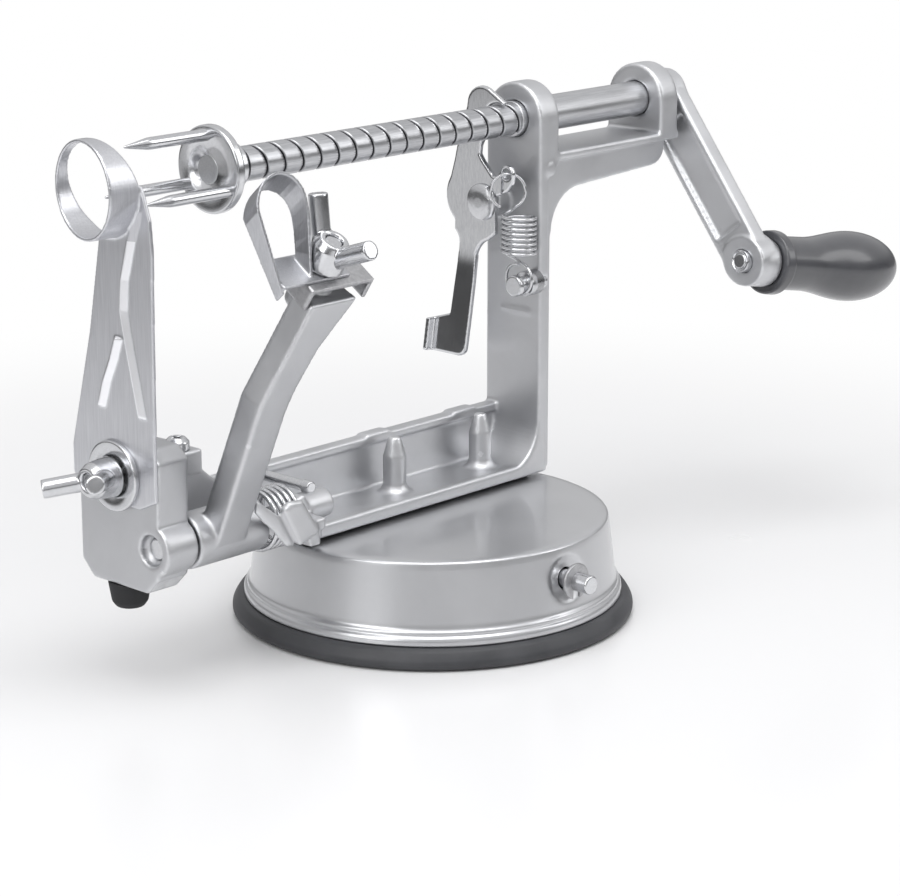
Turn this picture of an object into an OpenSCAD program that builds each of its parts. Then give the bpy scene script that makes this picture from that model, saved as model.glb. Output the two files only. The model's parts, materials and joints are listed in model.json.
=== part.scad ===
// Hand-cranked apple peeler on a suction base, in millimetres.
// +X runs along the lead screw towards the crank, +Z is up, and the base stands at the origin.

/* [Lead screw] */
// Height of the lead screw's axis above the table
axis_z = 117; // [113:0.5:124]
// Distance of the lead screw's axis behind the base's centre
axis_y = 9; // [7:0.5:11]
// Diameter of the plain part of the lead screw
shaft_d = 9; // [8.6:0.1:9.6]
// Distance that one turn of the crank feeds
pitch = 5.75; // [5.3:0.05:6]
// Turns of the crank over the whole feed
turns = 14; // [11:1:14]

/* [Frame] */
// Width of the column and of the beam
column_w = 18.5; // [17:0.5:20]
// Place of the column's face along the screw
column_x = 39.4; // [38:0.2:41]
// Distance between the two bearing eyes
eye_gap = 40.6; // [36:0.5:46]
// Height of the beam's underside
beam_z = 25.9; // [25:0.1:28]
// Height of the beam's web
web_h = 16.4; // [14:0.2:18]

/* [Crank] */
// Distance from the lead screw to the handle's pin
crank_r = 51; // [46:0.5:58]
// Width of the crank arm
crank_w = 13; // [12:0.2:14]
// Direction of the crank arm below the horizontal
crank_angle = 52.7; // [45:0.5:60]
// Tilt of the handle's pin
pin_tilt = 11.8; // [0:0.2:13]
// Length of the handle with its collar
grip_l = 49.5; // [46:0.5:58]
// Largest diameter of the handle
grip_d = 19; // [17:0.2:21]

/* [Peeler arm] */
// Lean of the arm towards the front
arm_lean = 23.7; // [20:0.2:26]
// Height of the arm above its pivot
arm_h = 65.5; // [64:0.5:67]
// Diameter of the arm's hub
hub_d = 13; // [12:0.2:14]
// Diameter of the pivot rod
rod_d = 5; // [4:0.1:5.4]

/* [Coring blade] */
// Inner diameter of the coring ring
ring_d = 20.8; // [19:0.2:22]
// Length of the coring ring along the screw
ring_l = 6.2; // [5:0.2:7]
// Slant of the coring ring's edge
ring_slant = 8; // [0:0.5:10]

/* [Suction base] */
// Outer diameter of the rubber cup
cup_d = 100; // [96:1:106]
// Diameter of the housing's flat top
top_d = 87; // [84:1:90]
// Height of the suction lever's axle
axle_z = 16.6; // [16:0.1:16.8]
// Length of the suction lever
lever_l = 38; // [32:1:42]

/* [Hidden] */
// Round shapes are true rounds
$fn = 64;
// Gaps
running = 0.06;
clear = 0.4;
seat = 0.1;
// Beam and column
beam_front = axis_y - column_w / 2;
beam_back = axis_y + column_w / 2;
flange_t = 2.9;
bead_t = 2;
bead_h = 3.4;
web_t = 2.8;
rim_t = 4;
rim_h = 2.2;
beam_left = -46;
corner_r = 11;
eye_t = 7;
eye_r = column_w / 2;
eye2_x = column_x + eye_t + eye_gap;
eye2_end = eye2_x + eye_t;
plate_t = 3.4;
rib_t = 4.5;
rib_y = beam_front + 2.6;
arm_top = axis_z - 8.4;
arm_t = 2;
boss_x = [-4.2, 27.2];
boss_d = 5.8;
boss_h = 14;
// Peeler arm's pivot
pivot_y = -1.1;
pivot_z = 35.5;
rod_end = -43.6;
stop_x = -43.5;
stop_z = beam_z + web_h - rim_h - 0.1;
// Blade block
block_x = -93;
block_t = 9.2;
block_w = 27.6;
block_y = axis_y + 0.3;
block_bottom = 25;
block_top = 59;
chamfer = 4;
boss_r = 6.2;
bolt_z = 51.5;
ledge_x = block_x + block_t + 9;
ledge_z = 55.4;
screw_x = block_x + block_t + 4.4;
screw_y = axis_y - 4.5;
lap_x = -58;
// Release lever
lever_x = 33;
lever_t = 1.5;
lever_mid = lever_x + lever_t / 2;
rivet_y = axis_y + 4.8;
rivet_z = axis_z - 21;
ear_y = axis_y - 3.2;
ear_z = axis_z - 13;
ear_hole = 1.4;
anchor_y = axis_y - 7.6;
anchor_z = axis_z - 40.7;
neck_r = 1.8;
// Lead screw's parts along the screw, at the end of the feed
thread_d = shaft_d - 0.8;
root_d = thread_d - 1.4;
groove_w = 1.2;
tooth = 0.6;
feed = turns * pitch;
thread_left = lever_mid - feed - 8;
thread_right = column_x - 1.2;
fork_x = thread_left - 7;
fork_t = 2.4;
fork_r = 8;
prong_d = 2.8;
prong_l = 25;
washer_t = 0.8;
hub_x = eye2_end + washer_t + 2 * seat;
hub_l = 6;
hub_r = 6.8;
boss_l = 8.6;
crank_t = 5;
tip_r = 6.8;
cross_d = 2.4;
pin_d = 6;
collar_l = 3.4;
collar_d = 17.2;
tip_y = axis_y - crank_r * cos(crank_angle);
tip_z = axis_z - crank_r * sin(crank_angle);
// Peeler arm's parts, measured up the leaning arm from the pivot
arm_x0 = -79;
arm_w = 9;
arm_front = -6.3;
arm_back = 0.6;
arm_bend = 40;
arm_shift = 6.8;
hub_x0 = block_x + block_t + 0.5;
hub_x1 = -62;
pad_h = 4;
clip_t = 1.2;
clip_x0 = -73.7;
clip_x1 = -54.7;
clip_h = arm_h + pad_h;
bolt_x = -65.9;
bolt_v = 0.6;
clip_lean = 10;
bolt_d = 4;
blade_t = 0.8;
loop_lean = 0.2;
blade_slope = 42;
blade_wide = 6.4;
loop_r = 7.1;
loop_x = -77;
seat_y = pivot_y - clip_h * sin(arm_lean);
seat_z = pivot_z + clip_h * cos(arm_lean);
loop_y = seat_y - 4;
loop_z = seat_z + 16.1;
loop_foot = seat_z - 2;
// Torsion spring
coil_wire = 1.2;
coil_pitch = 1.75;
coil_turns = 5;
coil_r = hub_d / 2 + 0.3;
coil_x0 = hub_x1 + 0.8;
// Tension spring
pull_wire = 0.8;
pull_pitch = 1.27;
pull_turns = 8;
pull_r = 4.2;
pull_x = lever_mid;
hook_r = 4.4;
hook_turn = 43;
foot_r = 3.9;
// Suction base
cup_r = cup_d / 2;
rim_r = cup_r - 2.9;
wall_r = rim_r - 1.4;
top_r = top_d / 2;
sheet = 1.2;
pad_t = 0.9;
pad_left = -22;
base_top = beam_z - pad_t;
rim_z = 5;
lift = 1.8;
axle_d = 4.6;
cam_r = 4.3;
cam_e = lift / sqrt(2);
yoke_t = 5;
side_r = wall_r + (top_r - wall_r) * (axle_z - rim_z - 3.4) / (base_top - rim_z - 5.4);
axle_front = -side_r - 7.54;
lever_y = side_r + 3.14;
clip_y = -side_r - 2.04;
clip_w = 0.9;
core_r = 8.6;
base_screw_d = 3.6;

// Node to draw

// Points of a round stretch of an outline
function arc(x, y, r, from, to, steps = 8) =
    [for (i = [0:steps]) let (a = from + (to - from) * i / steps) [x + r * cos(a), y + r * sin(a)]];
// Vector of length one
function unit(v) = v / norm(v);
// Direction of a path at one of its points
function heading(path, i) = unit(path[min(i + 1, len(path) - 1)] - path[max(i - 1, 0)]);
// Two directions across a path at each point, carried along so that they never twist
function carried(path, side, i = 0) =
    i == len(path) ? [] :
    let (t = heading(path, i), m = unit(side - (side * t) * t))
    concat([[m, cross(t, m)]], carried(path, m, i + 1));
// Least distance between points of a path that are more than some steps apart, less the wire
function self_gap(path, apart, wire) =
    min([for (i = [0:len(path) - 1], j = [i + apart:1:len(path) - 1]) norm(path[i] - path[j])]) - wire;

// Outline in YZ, drawn out along X
module along_x(x0, x1) {
    translate([x0, 0, 0]) rotate([90, 0, 90]) linear_extrude(x1 - x0) children();
}

// Outline in XZ, drawn out along Y
module along_y(y0, y1) {
    translate([0, y1, 0]) rotate([90, 0, 0]) linear_extrude(y1 - y0) children();
}

// Round bar along X
module rod_x(x0, x1, y, z, r) {
    translate([x0, y, z]) rotate([0, 90, 0]) cylinder(h = x1 - x0, r = r);
}

// Round bar along Y
module rod_y(y0, y1, x, z, r) {
    translate([x, y1, z]) rotate([90, 0, 0]) cylinder(h = y1 - y0, r = r);
}

// Block between two corners
module block(low, high) {
    translate(low) cube(high - low);
}

// Closed solid over rings of points, each ring with the same number of sides
module lofted(rings) {
    sides = len(rings[0]);
    last = (len(rings) - 1) * sides;
    walls = [for (i = [0:len(rings) - 2], k = [0:sides - 1], half = [0, 1])
        let (a = i * sides + k, b = i * sides + (k + 1) % sides)
        half == 0 ? [a, a + sides, b + sides] : [a, b + sides, b]];
    caps = [for (k = [1:sides - 2], end = [0, 1])
        end == 0 ? [0, k, k + 1] : [last, last + k + 1, last + k]];
    polyhedron([for (ring = rings) each ring], concat(walls, caps));
}

// Wire along a path
module wire_along(path, r, side, sides = 6) {
    across = carried(path, side);
    lofted([for (i = [0:len(path) - 1]) [for (k = [0:sides - 1])
        path[i] + r * (cos(360 * k / sides) * across[i][0] + sin(360 * k / sides) * across[i][1])]]);
}

// Frame the peeler arm is built in: its own X, depth and height, leaning at the pivot
module on_arm() {
    translate([0, pivot_y, pivot_z]) rotate([arm_lean, 0, 0]) children();
}

// Frame of the blade clip, which leans further forward than the arm
module on_clip() {
    on_arm() translate([0, bolt_v, clip_h]) rotate([clip_lean, 0, 0]) translate([0, -bolt_v, -clip_h])
        children();
}

// Place in YZ of a point of the clip's frame
function clip_place(v, h) = let (a = arm_lean + clip_lean, dv = v - bolt_v, dh = h - clip_h)
    [pivot_y + bolt_v * cos(arm_lean) - clip_h * sin(arm_lean) + dv * cos(a) - dh * sin(a),
        pivot_z + bolt_v * sin(arm_lean) + clip_h * cos(arm_lean) + dv * sin(a) + dh * cos(a)];

// Wing nut standing on the XY plane, with its two round wings in a V
module wing_nut(bore, turn) {
    difference() {
        union() {
            cylinder(h = 5.2, r1 = 4.8, r2 = 4.2);
            translate([0, 0, 5.2]) cylinder(h = 1.8, r1 = 4.2, r2 = 3.3);
            rotate([0, 0, turn]) for (side = [-1, 1]) translate([side * 1.8, 0, 2.6])
                rotate([0, side * 38.5, 0]) cylinder(h = 12.4, r = 2.2);
        }
        translate([0, 0, -1]) cylinder(h = 10, r = bore);
    }
}

// One casting: beam, column, upper arm, both bearing eyes, lug and screw bosses
module frame() {
    color("silver") difference() {
        union() {
            block([beam_left, beam_front, beam_z], [column_x + plate_t, beam_back, beam_z + flange_t]);
            block([beam_left, beam_front, beam_z],
                [column_x + plate_t, beam_front + bead_t, beam_z + bead_h]);
            block([lap_x, beam_back - web_t, beam_z], [column_x + plate_t, beam_back, beam_z + web_h]);
            block([lap_x, beam_back - rim_t, beam_z + web_h - rim_h],
                [column_x + plate_t, beam_back, beam_z + web_h]);
            frame_column();
            frame_upper_arm();
            frame_lug();
            for (x = boss_x) frame_boss(x);
        }
        rod_x(column_x - 8, eye2_end + 1, axis_y, axis_z, shaft_d / 2 + running);
        rod_x(-58, rod_end, pivot_y, pivot_z, rod_d / 2);
        rod_y(beam_back - rim_t - 1, beam_back - 1, stop_x, stop_z, 1.3);
        rod_x(column_x - 8, column_x + plate_t - 1, rivet_y, rivet_z, 2.2);
        rod_x(column_x - 1, column_x + plate_t - 0.6, anchor_y, anchor_z, 1.8);
        for (x = boss_x) translate([x, axis_y, beam_z - 1]) cylinder(h = boss_h - 2, r = base_screw_d / 2);
    }
}

// Upright plate with its round foot, rib, first eye and the release lever's boss
module frame_column() {
    block([column_x, beam_front, beam_z], [column_x + plate_t, beam_back, axis_z]);
    rod_x(column_x, column_x + eye_t, axis_y, axis_z, eye_r);
    block([column_x, beam_front, axis_z - 12], [column_x + eye_t, beam_back, axis_z]);
    block([column_x + 1, rib_y, beam_z], [column_x + eye_t, rib_y + rib_t, axis_z - 11]);
    difference() {
        foot_z = beam_z + flange_t;
        block([column_x - corner_r, beam_front, foot_z - 1], [column_x + 1, beam_back, foot_z + corner_r]);
        rod_y(beam_front - 1, beam_back + 1, column_x - corner_r, foot_z + corner_r, corner_r);
    }
    rod_x(lever_x + lever_t + 0.3, column_x + 1, rivet_y, rivet_z, 4.2);
}

// Flat arm with its tapered web, and the second eye on its pedestal
module frame_upper_arm() {
    block([column_x + plate_t - 1, beam_front, arm_top - arm_t], [eye2_end + 0.6, beam_back, arm_top]);
    x0 = column_x + plate_t + 3;
    along_y(rib_y, rib_y + rib_t) polygon(concat(
        [[x0 - 4, arm_top - 1], [eye2_x + 5, arm_top - 1]],
        arc(eye2_x, arm_top - 3.7, 5, 0, -90),
        [[x0 + 12, arm_top - 10.2]],
        arc(x0 + 12, arm_top - 21.2, 11, 90, 180),
        [[x0 - 4, arm_top - 26]]));
    block([eye2_x, beam_front, arm_top - 1], [eye2_end, beam_back, axis_z]);
    rod_x(eye2_x, eye2_end, axis_y, axis_z, eye_r);
}

// Slanted lug that holds the pivot rod's end, with a small round boss and a stepped guard before the spring
module frame_lug() {
    along_y(pivot_y - 3.5, pivot_y + 5.1) polygon([[-51.3, pivot_z + 3.6], [-48.2, pivot_z + 4.3],
        [-43.4, pivot_z - 4.9], [-43, beam_z + 0.6], [-46.4, beam_z + 0.6]]);
    rod_x(-48, -38.5, pivot_y, pivot_z, 3.6);
    block([-46, pivot_y - 1.4, beam_z + 1], [-40.5, pivot_y + 3.4, pivot_z - 2.3]);
    along_y(pivot_y - 10.1, pivot_y - 8) polygon([[-61.1, pivot_z + 4.5], [-59, pivot_z + 6],
        [-55, pivot_z + 5.8], [-49.7, pivot_z - 2.1], [-49.7, pivot_z - 3.4], [-56, pivot_z - 5.2]]);
    along_y(pivot_y - 9.6, pivot_y - 8) polygon([[-68.8, pivot_z + 8.5], [-62.3, pivot_z + 3.7],
        [-57.2, pivot_z - 5], [-59.7, pivot_z - 4.6], [-63.7, pivot_z], [-66.5, pivot_z + 2.6],
        [-69.3, pivot_z + 5.6]]);
    along_y(pivot_y - 8.8, pivot_y - 8) polygon([[-63, pivot_z + 3], [-60, pivot_z + 4],
        [-55.5, pivot_z - 4], [-58, pivot_z - 4.6]]);
    block([-51.2, pivot_y - 9, pivot_z - 3.3], [-46.6, pivot_y - 3, pivot_z - 0.3]);
}

// Round screw boss with a tapered top
module frame_boss(x) {
    translate([x, axis_y, beam_z + flange_t - 1]) cylinder(h = boss_h - 4, d = boss_d);
    translate([x, axis_y, beam_z + flange_t + boss_h - 5]) cylinder(h = 5, r1 = boss_d / 2, r2 = 1.5);
}

// Left end casting: block for the blades, ledge, gusset and the bar that laps the beam's web
module blade_block() {
    color("silver") difference() {
        union() {
            y0 = block_y - block_w / 2;
            y1 = block_y + block_w / 2;
            along_x(block_x, block_x + block_t) polygon([[y0 + 1, block_bottom + chamfer],
                [y0 + chamfer + 1, block_bottom], [y1 - chamfer, block_bottom], [y1, block_bottom + chamfer],
                [y1, block_top - 2], [y1 - 2, block_top], [y0 + 3, block_top], [y0, block_top - 3]]);
            rod_x(block_x, block_x + block_t, pivot_y, pivot_z, boss_r);
            block([block_x + block_t - 1, axis_y - 8, ledge_z - 6], [ledge_x, beam_back, ledge_z]);
            along_y(beam_back - 2 * web_t, beam_back - web_t - 0.02) polygon([
                [block_x + block_t - 1, beam_z + 3], [block_x + block_t - 1, ledge_z], [ledge_x, ledge_z],
                [lap_x + 0.5, beam_z + web_h - rim_h - seat], [lap_x + 10, beam_z + web_h - rim_h - seat],
                [lap_x + 10, beam_z + 3], [lap_x, beam_z + 3]]);
            block([block_x + block_t - 1, beam_back - web_t - 1, beam_z + 3],
                [lap_x - seat, beam_back, beam_z + web_h - 3]);
        }
        rod_x(block_x - 1, block_x + block_t + 1, pivot_y, pivot_z, rod_d / 2);
        rod_x(block_x - 1, block_x + 2, pivot_y, pivot_z, 3.6);
        rod_x(block_x - 1, block_x + block_t + 1, axis_y, bolt_z, bolt_d / 2);
        translate([screw_x, screw_y, ledge_z - 12]) cylinder(h = 13, r = 1.6);
        translate([block_x + block_t / 2, block_y + 2.5, block_bottom - 1]) cylinder(h = 5, r = 2);
    }
}

// Pan-head screw on the block's ledge
module block_screw() {
    color("gainsboro") difference() {
        translate([screw_x, screw_y, 0]) union() {
            translate([0, 0, ledge_z - 8]) cylinder(h = 9, r = 1.6);
            translate([0, 0, ledge_z]) cylinder(h = 1.9, r = 2.9);
            translate([0, 0, ledge_z + 1.9]) cylinder(h = 1.1, r1 = 2.9, r2 = 1.9);
        }
        for (turn = [0, 90]) translate([screw_x, screw_y, ledge_z + 2.8]) rotate([0, 0, turn])
            cube([3.2, 0.7, 1.6], center = true);
    }
}

// Tapered rubber bumper plugged into the block's underside
module bumper() {
    color("dimgray") translate([block_x + block_t / 2, block_y + 2.5, block_bottom]) union() {
        cylinder(h = 3.6, r = 2);
        translate([0, 0, -4.8]) cylinder(h = 4.8, r1 = 4.2, r2 = 5);
        translate([0, 0, -6.2]) cylinder(h = 1.4, r1 = 3.2, r2 = 4.2);
    }
}

// Lead screw's core, plain bearing length and riveted end
module lead_screw() {
    color("lightgray") difference() {
        union() {
            rod_x(fork_x - fork_t, thread_right, axis_y, axis_z, root_d / 2);
            rod_x(thread_right, hub_x + hub_l + 0.6, axis_y, axis_z, shaft_d / 2);
        }
        translate([hub_x + hub_l / 2, axis_y, axis_z]) cylinder(h = 2 * hub_r, d = cross_d, center = true);
        translate([fork_x + 2.8, axis_y, axis_z]) cylinder(h = 2 * hub_r, d = 2, center = true);
    }
}

// Right-handed square thread, with its groove at the release lever's tooth
module screw_thread() {
    steps = 16;
    first = ceil((thread_left - lever_mid) / pitch * steps);
    last = floor((thread_right - 1.6 - lever_mid - pitch / 2) / pitch * steps);
    land = pitch - groove_w;
    inner = root_d / 2 / cos(180 / steps);
    outer = thread_d / 2;
    color("lightgray") lofted([for (i = [first:last])
        let (a = 360 * i / steps, x = lever_mid + pitch * (i / steps + 0.5), c = cos(a), s = sin(a))
        [for (p = [[-1, inner], [-1, outer], [1, outer], [1, inner]])
            [x + p[0] * land / 2, axis_y + p[1] * c, axis_z + p[1] * s]]]);
}

// Disc with a hub and three pointed prongs
module fork() {
    color("gainsboro") difference() {
        union() {
            rod_x(fork_x - fork_t, fork_x, axis_y, axis_z, fork_r + 2.2);
            rod_x(fork_x - 1, fork_x + 5.5, axis_y, axis_z, 5.6);
            for (a = [90, 210, 330]) translate([fork_x - fork_t, axis_y, axis_z]) rotate([a, 0, 0])
                translate([0.5, fork_r, 0]) rotate([0, -90, 0]) union() {
                    cylinder(h = prong_l - 7, d = prong_d);
                    translate([0, 0, prong_l - 7]) cylinder(h = 7, d1 = prong_d, d2 = 0.5);
                }
        }
        rod_x(fork_x - fork_t - 1, fork_x + 6, axis_y, axis_z, root_d / 2);
        translate([fork_x + 2.8, axis_y, axis_z]) cylinder(h = 2 * hub_r, d = 2, center = true);
    }
}

// Pin through the fork's hub and the lead screw
module fork_pin() {
    color("gray") translate([fork_x + 2.8, axis_y, axis_z]) cylinder(h = 10.8, d = 2, center = true);
}

// Loose washer between the second eye and the crank's hub
module thrust_washer() {
    color("gainsboro") difference() {
        rod_x(eye2_end + seat, eye2_end + seat + washer_t, axis_y, axis_z, hub_r - 0.2);
        rod_x(eye2_end, eye2_end + 2 * seat + washer_t, axis_y, axis_z, shaft_d / 2 + running);
    }
}

// Cast crank: hub, recessed arm and the boss for the handle's pin
module crank_arm() {
    face = hub_x + 0.6;
    color("silver") difference() {
        union() {
            rod_x(hub_x, hub_x + hub_l, axis_y, axis_z, hub_r);
            translate([face, axis_y, axis_z]) rotate([crank_angle, 0, 0])
                block([0, -crank_r, -crank_w / 2], [crank_t, 0, crank_w / 2]);
            rod_x(hub_x, hub_x + 7, tip_y, tip_z, tip_r);
            on_pin() translate([0, 0, 1.8]) cylinder(h = boss_l - 1.8, r = tip_r - 0.3);
        }
        translate([face, axis_y, axis_z]) rotate([crank_angle, 0, 0])
            for (x = [-1, crank_t - 1.2]) translate([x, 0, 0])
                block([0, tip_r + 2 - crank_r, 2 - crank_w / 2], [2.2, -hub_r - 1.6, crank_w / 2 - 2]);
        rod_x(hub_x - 1, hub_x + hub_l + 1, axis_y, axis_z, shaft_d / 2);
        translate([hub_x + hub_l / 2, axis_y, axis_z]) cylinder(h = 3 * hub_r, d = cross_d, center = true);
        on_pin() translate([0, 0, -3]) cylinder(h = boss_l + 4, d = pin_d);
    }
}

// Frame of the handle's pin: its origin on the boss, its Z along the pin
module on_pin() {
    translate([hub_x, tip_y, tip_z]) rotate([crank_angle, 0, 0]) rotate([0, 0, -pin_tilt]) rotate([0, 90, 0])
        children();
}

// Pin through the crank's hub and the lead screw
module cross_pin() {
    color("gray") translate([hub_x + hub_l / 2, axis_y, axis_z])
        cylinder(h = 2 * hub_r - 0.6, d = cross_d, center = true);
}

// Riveted pin that the handle turns on
module grip_pin() {
    color("gainsboro") on_pin() union() {
        translate([0, 0, -1.2]) cylinder(h = boss_l + collar_l + grip_l - 14.8, d = pin_d);
        translate([0, 0, boss_l + collar_l + grip_l - 18]) cylinder(h = 2, d = pin_d + 1.6);
    }
}

// Collar between the crank and the handle
module grip_collar() {
    color("black") on_pin() difference() {
        translate([0, 0, boss_l]) cylinder(h = collar_l, d = collar_d);
        cylinder(h = boss_l + collar_l + 1, d = pin_d);
    }
}

// Waisted handle, hollow for its pin and the pin's head
module grip() {
    z0 = boss_l + collar_l + 2 * seat;
    l = grip_l - collar_l;
    big = grip_d / 2;
    slim = 7.2;
    color("black") on_pin() translate([0, 0, z0]) difference() {
        rotate_extrude() polygon(concat([[0, 0], [slim, 0]],
            [for (i = [1:12]) let (t = i / 12)
                [slim + (big - slim) * (1 - cos(180 * t)) / 2, l * (0.2 + 0.42 * t)]],
            [for (i = [1:12]) let (a = 90 * i / 12) [big * cos(a), l * (0.62 + 0.38 * sin(a))]]));
        translate([0, 0, -1]) cylinder(h = grip_l - 16, d = pin_d + 2 * running);
        translate([0, 0, grip_l - 19.2]) cylinder(h = 4.2, d = pin_d + 2.4);
    }
}

// Stamped lever with its half moon, tooth, ear, leg and thumb tab
module release_lever() {
    y = axis_y;
    z = axis_z;
    color("whitesmoke") difference() {
        union() {
            along_x(lever_x, lever_x + lever_t) polygon(concat(
                [[y + 0.7, z + 6.6], [y - 2.4, z + 4.8]],
                arc(y, z, thread_d / 2 + clear, 115, -40, 12),
                [[y + 5.6, z - 6.7], [y + 5.9, z - 8.9], [y + 4.9, z - 10.3],
                    [y + 1.3, z - 14.1], [y + 0.1, z - 14]],
                arc(ear_y, ear_z, ear_hole + 0.8, 60, 180, 6),
                [[ear_y - 2, ear_z - 2.5], [ear_y - 0.3, ear_z - 4.6],
                    [y + 0.8, z - 19.5], [y + 0.5, z - 28.9]],
                arc(y + 0.9, z - 36.9, 6.6, 72, 8, 6),
                [[y + 7.2, z - 36], [y + 13.2, z - 36]],
                arc(y + 16.7, z - 32.4, 3.8, 180, 125, 4),
                arc(y + 9.2, z - 20.4, 8.2, -50, 35, 8),
                [[y + 14.5, z - 10.9], [y + 13.8, z - 7.9], [y + 10.3, z + 2.8]],
                arc(y + 5.2, z + 3.4, 5, 15, 115, 6)));
            along_x(lever_mid - 0.3, lever_mid + 0.3) polygon([[y + 3.75, z - tooth], [y + 6, z - tooth],
                [y + 6, z + tooth], [y + 3.75, z + tooth]]);
            lever_leg();
        }
        rod_x(lever_x - 1, lever_x + lever_t + 1, rivet_y, rivet_z, 2.5 + running);
        rod_x(lever_x - 1, lever_x + lever_t + 1, ear_y, ear_z, ear_hole);
    }
}

// Leg that bends away from the column, with the folded tab at its end
module lever_leg() {
    y = axis_y;
    translate([lever_x, 0, axis_z - 36]) rotate([0, 5, 0]) {
        along_x(0, lever_t) polygon(concat([[y + 7.2, 1], [y + 7.5, -6.1], [y + 8.1, -14.7]],
            arc(y + 11.2, -23.4, 2.4, 180, 270, 5),
            [[y + 22, -25.8], [y + 21.4, -17.2], [y + 14.9, -15.2], [y + 14.4, -10.2], [y + 13.2, 1]]));
        along_x(-2, lever_t) polygon([[y + 20.6, -25.8], [y + 22, -25.8], [y + 21.4, -17.2], [y + 20, -17]]);
    }
}

// Domed rivet that the lever turns on
module lever_rivet() {
    color("whitesmoke") union() {
        rod_x(lever_x - seat, column_x + plate_t - 1, rivet_y, rivet_z, 2.2);
        rod_x(lever_x - seat, lever_x + lever_t + 0.3, rivet_y, rivet_z, 2.5);
        translate([lever_x - seat, rivet_y, rivet_z]) rotate([0, -90, 0]) cylinder(h = 1.2, r1 = 4.8, r2 = 4);
        translate([lever_x - seat - 1.2, rivet_y, rivet_z]) rotate([0, -90, 0])
            cylinder(h = 0.8, r1 = 4, r2 = 1.8);
    }
}

// Path of the tension spring: lower loop, coils and the ring through the lever's ear
function pull_path() =
    let (z0 = anchor_z + neck_r + pull_wire / 2 + 5.4, steps = 12, n = pull_turns * steps,
        top = z0 + pull_turns * pull_pitch, y0 = anchor_y + 0.6,
        low_z = anchor_z - neck_r - pull_wire / 2 - 0.1,
        low = [for (i = [0:17]) let (a = 455 - 345 * i / 17)
            [pull_x - 1.2 + 1.2 * i / 17, anchor_y + foot_r * cos(a), low_z + foot_r + foot_r * sin(a)]],
        coil = [for (i = [0:n]) let (a = 360 * i / steps)
            [pull_x + pull_r * sin(a), y0 + pull_r * cos(a), z0 + pull_pitch * i / steps]],
        ring = [for (i = [0:18]) let (a = 242 - 307 * i / 18, h = hook_r * cos(a))
            [pull_x - h * sin(hook_turn), ear_y + h * cos(hook_turn), ear_z - hook_r + hook_r * sin(a)]])
    concat(low, [[pull_x, y0 + 1.1, z0 - 1.2], [pull_x - 0.4, y0 + 3.1, z0 - 0.5]], coil,
        [[pull_x + 1.2, y0 + pull_r - 0.5, top + 0.5]], ring);

// Tension spring from the column's anchor to the lever's ear
module lever_spring() {
    path = pull_path();
    echo(lever_spring_gap = self_gap(path, 10, pull_wire));
    color("gainsboro") wire_along(path, pull_wire / 2, [1, 0, 0]);
}

// Grooved anchor for the tension spring
module spring_anchor() {
    color("gainsboro") union() {
        rod_x(lever_mid + 1.2, column_x, anchor_y, anchor_z, 3.2);
        rod_x(lever_mid - 1.3, column_x + plate_t - 0.6, anchor_y, anchor_z, neck_r);
        rod_x(lever_mid - 2.8, lever_mid - 1.2, anchor_y, anchor_z, 2.7);
    }
}

// Cast arm: hub on the pivot rod, bent bar, and the pad for the blade clip
module peeler_arm() {
    color("silver") difference() {
        union() {
            rod_x(hub_x0, hub_x1, pivot_y, pivot_z, hub_d / 2);
            on_arm() {
                x1 = arm_x0 + arm_w;
                along_y(arm_front, arm_back) polygon([[arm_x0, 0], [arm_x0, arm_bend],
                    [arm_x0 + arm_shift, arm_h], [x1 + arm_shift + 4.8, arm_h],
                    [x1 + arm_shift + 1, arm_h - 6], [x1 + 4, arm_bend + 13], [x1 + 0.9, arm_bend + 3],
                    [x1, arm_bend - 3], [x1, 0]]);
            }
            on_clip() translate([bolt_x, bolt_v, arm_h - 6]) cylinder(h = 6 + pad_h, r = 4.4);
        }
        rod_x(hub_x0 - 1, hub_x1 + 1, pivot_y, pivot_z, rod_d / 2 + running);
        on_clip() translate([bolt_x, bolt_v, arm_h - 5.2]) cylinder(h = 20, d = bolt_d);
    }
}

// Rod from the blade block to the frame's lug
module pivot_rod() {
    color("gainsboro") rod_x(block_x + 2, rod_end, pivot_y, pivot_z, rod_d / 2);
}

// Path of the torsion spring: short tail, coils round the rod, and the tail over the spring pin
function coil_path() =
    let (steps = 12, n = coil_turns * steps, end = coil_x0 + coil_turns * coil_pitch)
    concat([[coil_x0, pivot_y + coil_r, pivot_z + 2.6], [coil_x0, pivot_y + coil_r, pivot_z + 1.3]],
        [for (i = [0:n]) let (a = -360 * i / steps)
            [coil_x0 + coil_pitch * i / steps, pivot_y + coil_r * cos(a), pivot_z + coil_r * sin(a)]],
        [[end, pivot_y + coil_r, pivot_z - 1.3], [end, pivot_y + coil_r, pivot_z - 2.6]]);

// Torsion spring between the arm's hub and the lug
module torsion_spring() {
    path = coil_path();
    echo(torsion_spring_gap = self_gap(path, 8, coil_wire));
    color("gainsboro") wire_along(path, coil_wire / 2, [1, 0, 0]);
}

// Stop pin for the torsion spring, driven into the web
module spring_pin() {
    color("gainsboro") union() {
        rod_y(-1.4, beam_back - 1, stop_x, stop_z, 1.3);
        rod_y(-2, 0.6, stop_x, stop_z, 1.5);
    }
}

// Folded sheet channel on the arm's pad
module blade_clip() {
    color("lightgray") on_clip() difference() {
        union() {
            block([clip_x0, arm_front + 0.4, clip_h], [clip_x1, 5, clip_h + clip_t]);
            for (x = [clip_x0, clip_x1 - clip_t])
                block([x, arm_front + 0.4, clip_h - 4.4], [x + clip_t, 5, clip_h + clip_t]);
        }
        translate([bolt_x, bolt_v, clip_h - 1]) cylinder(h = 3, d = bolt_d);
    }
}

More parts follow.
